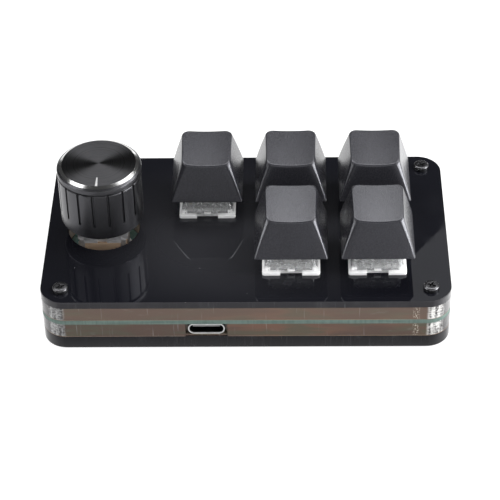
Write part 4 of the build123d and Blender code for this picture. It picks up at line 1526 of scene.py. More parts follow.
    def _screws(self) -> None:
        """Pan-head screws with a cross recess, repeated at the corners."""
        head, floor = round_outline(self.head_diameter / 2, 48), self.head_height - self.recess_depth
        recess = cross_outline(self.recess_span, self.recess_arm)
        draft = MeshDraft()
        draft.layer(head, [], 0.0, floor, (0.05, 0.0))
        draft.layer(head, [recess], floor, self.head_height, (0.0, 0.45), 0.06, steps=6)
        core, root, crest = self.shank_radii
        low = heights("case_screws")[0] - PLATE_TOP
        profile = [(0.0, low), (core, low)]
        for turn in range(int((-low - self.thread_neck) / self.thread_pitch)):
            height = low + self.thread_tip + turn * self.thread_pitch
            profile += [(root, height), (crest, height + self.thread_pitch * self.thread_flank)]
        draft.lathe([*profile, (crest, self.shank_top), (0.0, self.shank_top)], steps=24)
        corners = at_corners(*self.screw_at)
        places = [Place(x, y, PLATE_TOP, turn) for (x, y), turn in zip(corners, self.screw_turns)]
        screw = draft.build("screw", sharp=25.0)
        self.repeat(screw, "corner_screws", places, Slot.BLACK_SCREWS, "case_screws")

    def _nuts_and_feet(self) -> None:
        """Hexagonal nuts in their pockets and round rubber feet."""
        low, high = heights("case_nuts")
        nut = MeshDraft()
        hexagon, bore = round_outline(self.nut_radius, 6), round_outline(self.nut_bore, 24, True)
        nut.layer(hexagon, [bore], 0.0, high - low, (0.12, 0.12), 0.12)
        places = [Place(x, y, low) for x, y in at_corners(*self.screw_at)]
        self.repeat(nut.build("nut", soften=0.05), "captive_nuts", places, Slot.NUT_STEEL, "case_nuts")
        radius, high_corner = self.foot_radius, box("rubber_feet")[1]
        foot = MeshDraft()
        rim = [(0.0, 0.06), (2.6, 0.06), (2.8, 0.0), (3.7, 0.0), (3.92, 0.1), (radius, 0.3)]
        foot.lathe([*rim, (radius, 1.0), (0.0, 1.0)])
        places = [Place(x, y, 0.0) for x, y in at_corners(high_corner.x - radius, high_corner.y - radius)]
        self.repeat(foot.build("foot", sharp=35.0), "moulded_feet", places, Slot.FOOT_RUBBER, "rubber_feet")


@dataclass
class Keycaps(Assembly):
    """Sculpted caps: tapering sides, rounded corners and a top dished from side to side."""

    base: float = 21.8
    width: float = 18.1
    corner: float = 0.55
    corner_growth: float = 1.25
    front_height: float = 9.6
    front_inset: float = 3.4
    front_half: float = 6.0
    front_sag: float = 0.55
    back_height: float = 10.7
    back_inset: float = 1.9
    back_half: float = 6.35
    back_sag: float = 0.4
    ridge_round: float = 0.34
    wall: float = 1.5
    roof: float = 1.4
    post: float = 5.4
    post_base: float = 22.5
    socket_span: float = 4.1
    socket_arm: float = 1.3
    corner_steps: int = 7
    side_steps: int = 10
    wall_levels: tuple[float, ...] = (0.0, 0.3, 0.6, 0.85, 0.945, 1.0)
    top_levels: tuple[float, ...] = (0.93, 0.84, 0.72, 0.58, 0.42, 0.26, 0.12, 0.0)

    def _section(self, height: float, inset: float = 0.0) -> list[Flat]:
        """Outline at a height above the lower edge, drawn in by an inset.

        Args:
            height: Height above the cap's lower edge.
            inset: Distance inwards from the outer wall.

        Returns:
            Points round the outline, anticlockwise.
        """
        half = self.width / 2
        front = half - (half - self.front_half) * height / self.front_height - inset
        back = half - (half - self.back_half) * height / self.back_height - inset
        near = -half + self.front_inset * height / self.front_height + inset
        far = half - self.back_inset * height / self.back_height - inset
        middle = (front + back) / 2
        turn = max(self.corner + self.corner_growth * (height / self.front_height) ** 2 - 0.4 * inset, 0.3)
        arcs = []
        for number, (sx, sy) in enumerate(((1, 1), (-1, 1), (-1, -1), (1, -1))):
            x, y = sx * (middle - turn), far - turn if sy > 0 else near + turn
            angles = [QUARTER * (number + step / self.corner_steps) for step in range(self.corner_steps + 1)]
            arcs.append([(x + turn * math.cos(angle), y + turn * math.sin(angle)) for angle in angles])
        loop: list[Flat] = []
        for arc, following in zip(arcs, [*arcs[1:], arcs[0]]):
            (x0, y0), (x1, y1) = arc[-1], following[0]
            shares = [step / self.side_steps for step in range(1, self.side_steps)]
            loop += [*arc, *((x0 + (x1 - x0) * share, y0 + (y1 - y0) * share) for share in shares)]
        lean = (back - front) / middle
        return [(x * (1 + lean * ((y - near) / (far - near) - 0.5)), y) for x, y in loop]

    def _dish(self, x: float, y: float) -> float:
        """Height of the dished top above the lower edge.

        Args:
            x: Place along X from the cap's axis.
            y: Place along Y from the cap's axis.

        Returns:
            The height.
        """
        near = -self.width / 2 + self.front_inset
        far = self.width / 2 - self.back_inset
        share = (y - near) / (far - near)
        front_bend = 2 * self.front_sag / (self.front_half**2 + self.front_sag**2)
        back_bend = 2 * self.back_sag / (self.back_half**2 + self.back_sag**2)
        bend = front_bend + (back_bend - front_bend) * share
        low = self.front_height - self.front_sag
        low += (self.back_height - self.back_sag - low) * share
        return low + (1 - math.sqrt(max(1 - (bend * x) ** 2, 0.0))) / bend

    def _ridge(self) -> list[Point]:
        """Where the walls meet the dished top, as points above the lower edge."""
        found = [self.front_height] * len(self._section(0.0))
        for _ in range(8):
            found = [self._dish(*self._section(height)[index]) for index, height in enumerate(found)]
        return [(*self._section(height)[index], height) for index, height in enumerate(found)]

    def _outside(self, draft: MeshDraft) -> list[int]:
        """Add the walls and the dished top to a draft.

        Args:
            draft: The draft of the cap.

        Returns:
            Numbers of the lower edge's points.
        """
        ridge = self._ridge()
        rings = []
        for share in self.wall_levels:
            levels = [height * share for _, _, height in ridge]
            rings.append(draft.ring(
                [(*self._section(level)[index], self.base + level) for index, level in enumerate(levels)]
            ))
        centre_y = (ridge[0][1] + ridge[len(ridge) // 2][1]) / 2
        for share in self.top_levels:
            flat = [(x * share, centre_y + (y - centre_y) * share) for x, y, _ in ridge]
            rings.append(draft.ring([(x, y, self.base + self._dish(x, y)) for x, y in flat]))
        draft.bands(rings)
        return rings[0]

    def _prototype(self) -> Thing:
        """One cap about the key's axis, with its hollow and its cross socket."""
        draft, post = MeshDraft(), MeshDraft()
        edge = self._outside(draft)
        ceiling = self.front_height - self.front_sag - self.roof
        inner = draft.level(self._section(0.0, self.wall), self.base)
        under = draft.level(self._section(ceiling, self.wall), self.base + ceiling)
        draft.bands([under, inner, edge])
        draft.face(under)
        cap = draft.build("cap_outer", sharp=28.0, soften=self.ridge_round, soften_from=50.0, segments=5)
        cross = cross_outline(self.socket_span, self.socket_arm)
        top = self.base + ceiling + 0.05
        post.layer(round_outline(self.post / 2, 40), [cross], self.post_base, top, (0.15, 0.0), 0.08)
        both = [cap, post.build("cap_post", sharp=25.0)]
        with bpy.context.temp_override(
            active_object=cap, object=cap, selected_objects=both, selected_editable_objects=both
        ):
            bpy.ops.object.join()
        return cap

    def build(self) -> None:
        """Place a cap over each key, as its own piece on the key's body."""
        cap = self._prototype()
        for key in KEYS:
            mesh = cap.data.copy()
            mesh.transform(Matrix.Translation((key.x * MM, key.y * MM, 0.0)))
            mesh.materials.clear()
            mesh.materials.append(self.finishes.get(Slot.KEYCAP_BLACK))
            piece = link(f"sculpted_cap_{key.number}", mesh)
            body = Body(f"key_{key.number}")
            self.settle(piece, Slot.KEYCAP_BLACK, f"keycap_{key.number}", body)
        bpy.data.objects.remove(cap)


@dataclass
class Switches(Assembly):
    """Housings and springs of the five keys."""

    flange_top: float = 16.7
    roof: float = 22.3
    roof_edge: float = 0.25
    foot_width: float = 13.0
    foot_depth: float = 13.8
    roof_size: float = 10.5
    corner: float = 1.2
    wall: float = 0.9
    opening_width: float = 7.4
    opening_depth: float = 7.0
    tab_width: float = 1.8
    tab_heights: Flat = (16.45, 17.05)
    tab_span: Flat = (6.3, 7.15)
    pad_span: Flat = (5.1, 6.35)
    pad_height: float = 0.9
    pad_from: float = 6.2
    pad_proud: float = 0.04
    ledge_width: float = 9.6
    ledge_span: Flat = (5.6, 6.5)
    ledge_heights: Flat = (18.6, 18.95)
    rib_width: float = 0.4
    rib_depth: float = 0.4
    rib_proud: Flat = (0.4, 0.3)
    rib_ends: Flat = (0.05, 0.9)
    rib_offsets: tuple[float, ...] = (-5.5, -3.5, -1.5, 1.5, 3.5, 5.5)
    side_rib_limit: float = 4.5
    body_width: float = 13.4
    body_corner: float = 0.4
    body_wall: float = 1.0
    floor_top: float = 11.1
    flange_width: float = 14.2
    flange_depth: float = 15.5
    flange_corner: float = 0.6
    notch: Flat = (5.35, 2.35)
    mouth: float = 10.0
    peg: Flat = (1.95, 3.0)
    peg_chamfer: float = 0.3
    pole_reach: float = 2.5
    side_peg: Flat = (0.85, 2.6)
    side_peg_offset: float = 5.08
    tube_radii: Flat = (1.56, 2.05)
    tube_height: float = 3.0
    spring_radius: float = 2.5
    spring_wire: float = 0.15
    spring_turns: float = 9.5
    travel: float = 4.0

    def build(self) -> None:
        """Make the housings, their ribs and the springs."""
        for key in KEYS:
            self._base(key)
            self._housing(key)
            self._clips(key)
            self._ledges(key)
            self._ribs(key)
            self._spring(key)

    def _flange(self, inset: float) -> list[Flat]:
        """Outline of the flange, with a notch at the front and at the back.

        Args:
            inset: Distance into the material.

        Returns:
            Points round the outline, anticlockwise.
        """
        half_y = self.flange_depth / 2 - inset
        notch_x = self.notch[0] / 2 + inset
        notch_y = self.flange_depth / 2 - self.notch[1] - inset
        corners = rounded_rectangle(self.flange_width, self.flange_depth, self.flange_corner, 4)(inset)
        arc = len(corners) // 4
        back = [(notch_x, half_y), (notch_x, notch_y), (-notch_x, notch_y), (-notch_x, half_y)]
        front = [(-x, -y) for x, y in back]
        return [*corners[:arc], *back, *corners[arc : 3 * arc], *front, *corners[3 * arc :]]

    def _square(self, key: Key, width: float, hole: bool) -> Outline:
        """Outline of a square with small corners about a key's axis."""
        return moved(rounded_rectangle(width, width, self.body_corner, 4, hole), key.x, key.y)

    def _base(self, key: Key) -> None:
        """Milky lower housing: notched flange on the plate, box, guide tube and pegs below it.

        Args:
            key: The key.
        """
        draft = MeshDraft()
        hole = self._square(key, self.body_width - 2 * self.body_wall, True)
        mouth = self._square(key, self.mouth, True)
        flange = moved(self._flange, key.x, key.y)
        draft.layer(flange, [mouth], PLATE_TOP, self.flange_top, (0.05, 0.2), 0.08)
        body = self._square(key, self.body_width, False)
        draft.layer(body, [hole], self.floor_top, PLATE_TOP, (0.0, 0.0), 0.0)
        inner, outer = self.tube_radii
        bore = moved(round_outline(inner + 0.01, 32, True), key.x, key.y)
        draft.layer(body, [bore], BOARD_TOP, self.floor_top, (0.1, 0.0), 0.0)
        low, high = self.floor_top, self.floor_top + self.tube_height
        tube = [(inner, low), (outer, low), (outer, high - 0.1), (outer - 0.1, high), (inner, high)]
        draft.lathe(tube, key.x, key.y, 32)
        pole_stop = BOARD_TOP - self.pole_reach
        hollow = [(inner + 0.02, BOARD_TOP), (inner + 0.02, pole_stop), (0.0, pole_stop)]
        solid = [(0.0, BOARD_TOP)]
        for side in (0, -1, 1):
            radius, depth = self.side_peg if side else self.peg
            low, chamfer = BOARD_TOP - depth, self.peg_chamfer
            profile = [(0.0, low), (radius - chamfer, low), (radius, low + chamfer), (radius, BOARD_TOP)]
            profile += solid if side else hollow
            draft.lathe(profile, key.x + side * self.side_peg_offset, key.y, 32)
        name, node = f"milky_base_{key.number}", f"switch_{key.number}_base"
        self.make(draft, name, Slot.MILKY_HOUSING, node, sharp=25.0)

    def _taper(self, height: float, inset: float) -> list[Flat]:
        """Outline of the tapering housing.

        Args:
            height: Height of the outline.
            inset: Distance inwards from the outer wall.

        Returns:
            Points round the outline.
        """
        rise = (height - self.flange_top) / (self.roof - self.flange_top)
        width = self.foot_width + (self.roof_size - self.foot_width) * rise - 2 * inset
        depth = self.foot_depth + (self.roof_size - self.foot_depth) * rise - 2 * inset
        return rounded_rectangle(width, depth, max(self.corner - inset, 0.3), 6)(0.0)

    def _housing(self, key: Key) -> None:
        """Clear shell with a rounded roof edge and the slider's opening.

        Args:
            key: The key.
        """
        draft = MeshDraft()
        foot, roof, edge = self.flange_top + 0.02, self.roof, self.roof_edge
        ceiling = roof - self.wall
        opening = rounded_rectangle(self.opening_width, self.opening_depth, 0.3, 6)(0.0)
        outside = [(foot, 0.0), (roof - edge, 0.0), (roof - edge * 0.3, edge * 0.3), (roof, edge)]
        levels = [(self._taper(height, inset), height) for height, inset in outside]
        levels += [(opening, roof), (opening, ceiling)]
        levels += [(self._taper(height, self.wall), height) for height in (ceiling, foot)]
        rings = [draft.level(points, height, key.x, key.y) for points, height in levels]
        draft.bands([*rings, rings[0]])
        name, node = f"clear_housing_{key.number}", f"switch_{key.number}_top"
        self.make(draft, name, Slot.CLEAR_HOUSING, node, sharp=25.0)

    def _clips(self, key: Key) -> None:
        """Milky clip tabs and corner pads in front of and behind the housing.

        Args:
            key: The key.
        """
        clips = MeshDraft()
        half, (low, high) = self.tab_width / 2, self.tab_heights
        x, y = key.x, key.y
        for side in (-1, 1):
            near, far = (side * reach for reach in self.tab_span)
            clips.block((x - half, y + near, low), (x + half, y + far, high))
            near, far = side * self.pad_from, side * (self.foot_depth / 2 + self.pad_proud)
            top = self.flange_top + self.pad_height
            for end in (-1, 1):
                first, last = (end * reach for reach in self.pad_span)
                clips.block((x + first, y + near, self.flange_top), (x + last, y + far, top))
        self.make(clips, f"housing_clips_{key.number}", Slot.MILKY_HOUSING, soften=0.12)

    def _ledges(self, key: Key) -> None:
        """Level ledges across the front and the back of the housing.

        Args:
            key: The key.
        """
        ledges = MeshDraft()
        half, (low, high) = self.ledge_width / 2, self.ledge_heights
        for side in (-1, 1):
            near, far = (side * reach for reach in self.ledge_span)
            ledges.block((key.x - half, key.y + near, low), (key.x + half, key.y + far, high))
        self.make(ledges, f"housing_ledges_{key.number}", Slot.CLEAR_HOUSING, soften=0.08)

    def _ribs(self, key: Key) -> None:
        """Slanting ribs on the four faces of one housing, repeated from one rib.

        Args:
            key: The key.
        """
        low, high = self.flange_top + self.rib_ends[0], self.roof - self.rib_ends[1]
        share = (high - self.flange_top) / (self.roof - self.flange_top)
        foot = -self.foot_depth / 2
        top = foot + (self.foot_depth - self.roof_size) / 2 * share
        half, depth = self.rib_width / 2, self.rib_depth
        rings = []
        for height, front, proud in zip((low, high), (foot, top), self.rib_proud):
            near, far = front - depth * proud, front + depth
            corners = ((-half, near), (half, near), (half, far), (-half, far))
            rings.append([(x, y, height) for x, y in corners])
        rib = MeshDraft()
        rib.prism(*rings)
        places = []
        for quarter in range(4):
            turn, sideways = QUARTER * quarter, quarter % 2
            inward = (self.foot_depth - self.foot_width) / 2 if sideways else 0.0
            for offset in self.rib_offsets:
                if sideways and abs(offset) > self.side_rib_limit:
                    continue
                x = key.x + offset * math.cos(turn) - inward * math.sin(turn)
                y = key.y + offset * math.sin(turn) + inward * math.cos(turn)
                places.append(Place(x, y, 0.0, turn))
        self.repeat(rib.build("rib", soften=0.1), f"housing_ribs_{key.number}", places, Slot.CLEAR_HOUSING)

    def _spring(self, key: Key) -> None:
        """Return spring of a key, coiled above its seat.

        Args:
            key: The key.
        """
        node, name = f"switch_{key.number}_spring", f"return_spring_{key.number}"
        low, high = heights(node)
        wire = self.spring_wire
        values = {
            "Turns": self.spring_turns, "Radius": self.spring_radius * MM, "Wire": wire * MM,
            "Height": (high - low - wire * 3.2) * MM, "Centre": Vector((key.x, key.y, low + wire * 1.6)) * MM,
            "Material": self.finishes.get(Slot.SPRING_STEEL),
        }
        piece = self.trees.grow(link(name, bpy.data.meshes.new(name)), self.trees.coil, values)
        self.settle(piece, Slot.SPRING_STEEL, node)
        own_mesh(piece)


@dataclass
class Knob(Assembly):
    """Turned and fluted knob with a spun disc and a white pointer."""

    base: float = 20.0
    height: float = 16.1
    rim_radius: float = 10.45
    skirt_radius: float = 10.35
    bevel_width: float = 1.3
    bevel_height: float = 1.1
    polish: Flat = (0.72, 0.5)
    rim_height: float = 0.9
    shoulder: float = 0.16
    groove_height: float = 0.6
    groove_depth: float = 0.5
    band_height: float = 4.0
    hollow_radius: float = 8.2
    roof: float = 1.6
    flutes: int = 17
    flute_width: float = 0.6
    flute_depth: float = 0.5
    flute_shares: tuple[float, ...] = (0.0, 0.5, 0.82, 0.99, 1.12)
    flute_cuts: tuple[float, ...] = (1.0, 0.97, 0.8, 0.1, 0.0)
    first_flute: float = -6.0
    disc_radius: float = 9.1
    disc_thickness: float = 0.6
    disc_drop: float = 0.02
    disc_chamfer: float = 0.08
    disc_edge: float = 0.3
    ring_pitch: float = 0.16
    ring_waves: tuple[Flat, ...] = ((0.05, 2.1), (0.03, 5.3))
    ring_depth: float = 0.006
    ring_limit: float = 0.5
    pointer_width: float = 0.62
    pointer_tip: float = 0.3
    pointer_length: float = 3.38
    pointer_depth: float = 0.35
    pointer_steps: int = 6

    def build(self) -> None:
        """Make the shell, the disc and the pointer."""
        self._shell()
        self._disc()
        self._pointer()

    def _profiles(self) -> tuple[list[Flat], list[Flat], list[Flat]]:
        """Radius and height of the shell's section, from the hollow's roof round the outside and back.

        Returns:
            The plain part below, the part that the flutes cut, and the plain part above.
        """
        skirt, rim, edge = self.skirt_radius, self.rim_radius, 0.07
        lip = rim - self.bevel_width
        bevel = self.height - self.bevel_height
        under = bevel - self.rim_height
        groove = under - self.groove_height
        neck, step = skirt - self.groove_depth, skirt - self.shoulder
        seat = self.height - self.disc_thickness
        ceiling, hollow = seat - self.roof, self.hollow_radius
        below = [
            (0.0, ceiling), (hollow, ceiling), (hollow, 0.15), (hollow + 0.15, 0.0), (skirt - 0.6, 0.0),
            (skirt - 0.3, 0.08), (skirt - 0.08, 0.3), (skirt, 0.6), (skirt, self.band_height),
        ]
        fluted = [
            (skirt, self.band_height), (skirt, (self.band_height + groove) / 2),
            (skirt, groove - self.shoulder), (step, groove),
        ]
        above = [
            (step, groove), (neck + edge, groove), (neck, groove + edge), (neck, under - edge),
            (neck + edge, under), (rim - edge, under), (rim, under + edge), (rim, bevel),
            (rim - 0.1, bevel + 0.28), (lip + self.polish[0], self.height - self.polish[1]),
            (lip, self.height), (lip, seat), (0.0, seat),
        ]
        return below, fluted, above

    def _shell(self) -> None:
        """Fluted shell, one sector repeated round the axis, with a polished chamfer."""
        span = 2 * math.pi / self.flutes
        edge = math.asin(self.flute_width / 2 / self.skirt_radius)
        half = [edge * share for share in self.flute_shares]
        half += [half[-1] + (span / 2 - half[-1]) * step / 4 for step in range(1, 5)]
        cuts = [*self.flute_cuts, 0.0, 0.0, 0.0, 0.0]
        angles = [*(-angle for angle in reversed(half[1:])), *half]
        depths = [*reversed(cuts[1:]), *cuts]
        draft = MeshDraft()
        rings = []
        for number, profile in enumerate(self._profiles()):
            for radius, height in profile:
                reaches = [radius] * len(angles)
                if number == 1:
                    reaches = [min(radius, self.skirt_radius - self.flute_depth * depth) for depth in depths]
                around = zip(reaches, angles)
                flat = [(reach * math.sin(angle), -reach * math.cos(angle)) for reach, angle in around]
                rings.append(draft.level(flat, height))
        draft.bands(rings, closed=False)
        values = {
            "Count": self.flutes, "Start": math.radians(self.first_flute),
            "Centre": Vector((*KNOB_AXIS, self.base)) * MM,
            "Material": self.finishes.get(Slot.BLACK_ANODISED),
        }
        sector = draft.build("fluted_shell", sharp=180.0)
        piece = self.trees.grow(sector, self.trees.turned_sectors, values)
        weld(piece.data, 0.002, 32.0)
        piece.data.materials.append(self.finishes.knob_bevel)
        polished = len(piece.data.materials) - 1
        lowest = (self.base + self.height - self.polish[1]) * MM
        for face in piece.data.polygons:
            if face.center.z > lowest and 0.5 < face.normal.z < 0.95:
                face.material_index = polished
        self.settle(piece, Slot.BLACK_ANODISED, "knob_shell", Body.KNOB)

    def _disc(self) -> None:
        """Spun disc: fine rings cut across its face."""
        top = self.base + self.height - self.disc_drop
        bottom = self.base + self.height - self.disc_thickness
        outer, chamfer = self.disc_radius, self.disc_chamfer
        radius = outer - self.disc_edge
        profile = [(0.0, bottom), (outer, bottom), (outer, top - chamfer)]
        profile += [(outer - chamfer, top), (radius, top)]
        step = 0
        while radius > self.ring_limit:
            pitch = self.ring_pitch
            for swing, rate in self.ring_waves:
                pitch += swing * math.sin(step * rate)
            profile += [(radius - pitch * 0.5, top - self.ring_depth), (radius - pitch, top)]
            radius -= pitch
            step += 1
        draft = MeshDraft()
        draft.lathe([*profile, (0.0, top)], *KNOB_AXIS, steps=128)
        self.make(draft, "spun_disc", Slot.SPUN_BLACK, "knob_disc", Body.KNOB, sharp=30.0)

    def _pointer(self) -> None:
        """White inlay from the disc's edge inwards, its outer end following the edge."""
        steps, tip = self.pointer_steps, self.pointer_tip / 2
        across = [-self.pointer_width / 2 + self.pointer_width * step / steps for step in range(steps + 1)]
        inner_y = -self.disc_radius + self.pointer_length
        rim = [(x, -math.sqrt(self.disc_radius**2 - x * x)) for x in across]
        loop = [*rim, (tip, inner_y), (-tip, inner_y)]
        x, y = KNOB_AXIS
        top = self.base + self.height
        levels = (top - self.pointer_depth, top)
        draft = MeshDraft()
        draft.prism(*([(x + px, y + py, height) for px, py in loop] for height in levels))
        self.make(draft, "pointer_inlay", Slot.WHITE_INLAY, "knob_pointer", Body.KNOB, soften=0.05)


@dataclass
class Encoder(Assembly):
    """Threaded neck, lid ears, solder and snap disc of the rotary encoder."""

    neck_base: float = 16.4
    neck_height: float = 5.0
    neck_radius: float = 3.5
    flange_radius: float = 4.3
    flange_height: float = 0.6
    bore_radius: float = 3.08
    thread_pitch: float = 0.5
    thread_depth: float = 0.22
    thread_from: float = 0.5
    thread_end: float = 0.4
    lug_offset: float = 6.3
    mound_shifts: tuple[float, ...] = (-0.8, 0.1, 0.85)
    pin_reach: float = 7.3
    front_pins: tuple[float, ...] = (-2.5, 0.0, 2.5)
    back_pins: tuple[float, ...] = (-2.5, 2.5)
    spare_pad: Flat = (7.9, 1.3)
    shoulder: Flat = (4.5, 5.8)
    shoulder_y: float = 4.72
    ear_gaps: Flat = (0.6, 0.75)
    sheet: float = 0.2
    dome_power: float = 0.8
    dome_sheet: float = 0.1
    dome_inner: float = 0.93
    travel: float = 0.5

    def build(self) -> None:
        """Make the neck, the ears, the solder and the snap disc."""
        self._neck()
        self._ears()
        self._solder()
        self._snap_disc()

    def _neck(self) -> None:
        """Neck on the lid, with a thread above its flange."""
        base, top, pitch = self.neck_base, self.neck_base + self.neck_height, self.thread_pitch
        outer, bore, flange = self.neck_radius, self.bore_radius, self.flange_radius
        root, ledge = outer - self.thread_depth, base + self.flange_height
        start = ledge + self.thread_from
        profile = [
            (bore, base), (flange - 0.1, base), (flange, base + 0.1), (flange, ledge - 0.1),
            (flange - 0.1, ledge), (root, ledge), (root, start),
        ]
        for turn in range(int((top - self.thread_end - start) / pitch)):
            height = start + turn * pitch
            profile += [(outer, height + pitch * 0.4), (outer, height + pitch * 0.55)]
            profile.append((root, height + pitch * 0.95))
        profile += [(outer - 0.3, top), (bore + 0.05, top), (bore, top - 0.05)]
        draft = MeshDraft()
        draft.lathe(profile, *KNOB_AXIS, steps=64)
        self.make(draft, "threaded_neck", Slot.ZINC_NECK, "encoder_bushing", sharp=25.0)

    def _ears(self) -> None:
        """Sheet-metal ears of the lid that wrap the base's four shoulders."""
        x, y = KNOB_AXIS
        first, last = self.shoulder
        near, far = self.shoulder_y, self.shoulder_y + self.sheet
        low, high = BOARD_TOP + self.ear_gaps[0], self.neck_base - self.ear_gaps[1]
        draft = MeshDraft()
        for side, end in at_corners(1, 1):
            draft.block((x + side * first, y + end * near, low), (x + side * last, y + end * far, high))
        self.make(draft, "lid_ears", Slot.PLATED_STEEL, soften=0.06)

    def _solder(self) -> None:
        """Tinned rings and solder mounds on the board round the encoder's lugs and pins."""
        x, y = KNOB_AXIS
        ring, mound = MeshDraft(), MeshDraft()
        ring.lathe([(0.62, 0.0), (0.98, 0.0), (0.95, 0.06), (0.8, 0.1), (0.66, 0.07)], steps=24)
        pads = [(shift, -self.pin_reach) for shift in self.front_pins]
        pads += [(shift, self.pin_reach) for shift in self.back_pins]
        profile = [(0.0, 0.0), (0.75, 0.0), (0.7, 0.12), (0.45, 0.35), (0.3, 0.8), (0.18, 1.1), (0.0, 1.15)]
        mound.lathe(profile, steps=24)
        lugs = [(side * self.lug_offset, shift) for side in (-1, 1) for shift in self.mound_shifts]
        for prototype, name, flat in (
            (ring.build("pad_ring", sharp=40.0), "solder_rings", [*pads, self.spare_pad]),
            (mound.build("solder_mound", sharp=60.0), "lug_solder", lugs),
        ):
            places = [Place(x + px, y + py, BOARD_TOP) for px, py in flat]
            self.repeat(prototype, name, places, Slot.PLATED_STEEL, material=self.finishes.solder)

    def _snap_disc(self) -> None:
        """Domed snap disc under the push pin."""
        low, high = box("encoder_dome")
        radius, rise, foot = (high.x - low.x) / 2, high.z - low.z, low.z
        outer = []
        for share in (step / 8 for step in range(9)):
            height = foot + rise * math.sin(QUARTER * share) ** self.dome_power
            outer.append((radius * (1 - share), height))
        inner = []
        for reach, height in reversed(outer):
            under = height - self.dome_sheet if height > foot + self.dome_sheet else foot
            inner.append((reach * self.dome_inner, under))
        draft = MeshDraft()
        draft.lathe([*outer, *inner], *KNOB_AXIS, steps=32)
        piece = self.make(draft, "snap_disc", Slot.SPRING_STEEL, "encoder_dome", sharp=50.0)
        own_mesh(piece)


@dataclass
class BoardDetails(Assembly):
    """Contacts in the socket and leads of the chip under the board."""

    contact_pitch: float = 0.5
    contact_count: int = 12
    lead_pitch: float = 0.8
    leads_per_side: int = 8
    lead_half: float = 0.16
    lead_blocks: tuple[tuple[float, ...], ...] = (
        (-0.6, -0.15, 0.12, 0.0), (-0.25, 0.1, 0.45, 0.33), (-0.27, -0.15, 0.45, 0.02),
    )

    def build(self) -> None:
        """Make the contacts and the leads."""
        self._contacts()
        self._leads()

    def _contacts(self) -> None:
        """Contact pads on both faces of the socket's tongue."""
        low, high = box("usb_insulator")
        pad = MeshDraft()
        pad.block((-0.14, 0.15, -0.37), (0.14, 3.4, 0.37))
        first = (low.x + high.x) / 2 - self.contact_pitch * (self.contact_count - 1) / 2
        along = [first + self.contact_pitch * step for step in range(self.contact_count)]
        places = [Place(x, low.y, (low.z + high.z) / 2) for x in along]
        self.repeat(pad.build("contact_pad", soften=0.02), "socket_contacts", places, Slot.CONTACT_METAL)

    def _leads(self) -> None:
        """Bent leads round the chip, from its sides to the board."""
        low, high = box("microcontroller")
        middle_x, middle_y = (low.x + high.x) / 2, (low.y + high.y) / 2
        reach, board, half = (high.x - low.x) / 2, high.z, self.lead_half
        lead = MeshDraft()
        for near, far, bottom, top in self.lead_blocks:
            lead.block((-half, -reach + near, board - bottom), (half, -reach + far, board - top))
        places = []
        for quarter in range(4):
            turn = QUARTER * quarter
            for step in range(self.leads_per_side):
                offset = self.lead_pitch * (step - (self.leads_per_side - 1) / 2)
                x, y = middle_x + offset * math.cos(turn), middle_y + offset * math.sin(turn)
                places.append(Place(x, y, 0.0, turn))
        self.repeat(lead.build("gull_lead"), "chip_leads", places, Slot.PLATED_STEEL)


def direction(azimuth: float, elevation: float) -> Vector:
    """Way from the object to a lamp or the camera, from angles in radians; azimuth 0 is in front."""
    across, along = math.sin(azimuth) * math.cos(elevation), -math.cos(azimuth) * math.cos(elevation)
    return Vector((across, along, math.sin(elevation)))


@dataclass(frozen=True)
class Softbox:
    """A square studio lamp that faces a point of the object.

    Azimuth 0 is in front of the object and 90 to its right; radiance 1 is paper white.
    """

    name: str
    azimuth: float
    elevation: float
    distance: float
    size: Flat
    radiance: float
    roll: float = 0.0
    aim: Point = (0.0, 0.0, 20.0)

    def build(self) -> None:
        """Add the lamp."""
        away = direction(math.radians(self.azimuth), math.radians(self.elevation))
        lamp = bpy.data.lights.new(self.name, "AREA")
        lamp.shape = "RECTANGLE"
        lamp.size, lamp.size_y = self.size
        lamp.energy = self.radiance * math.pi * self.size[0] * self.size[1]
        holder = link(self.name, lamp)
        holder.location = Vector(self.aim) * MM + away * self.distance
        spin = Matrix.Rotation(math.radians(self.roll), 4, "Z")
        holder.rotation_euler = (away.to_track_quat("Z", "Y").to_matrix().to_4x4() @ spin).to_euler()


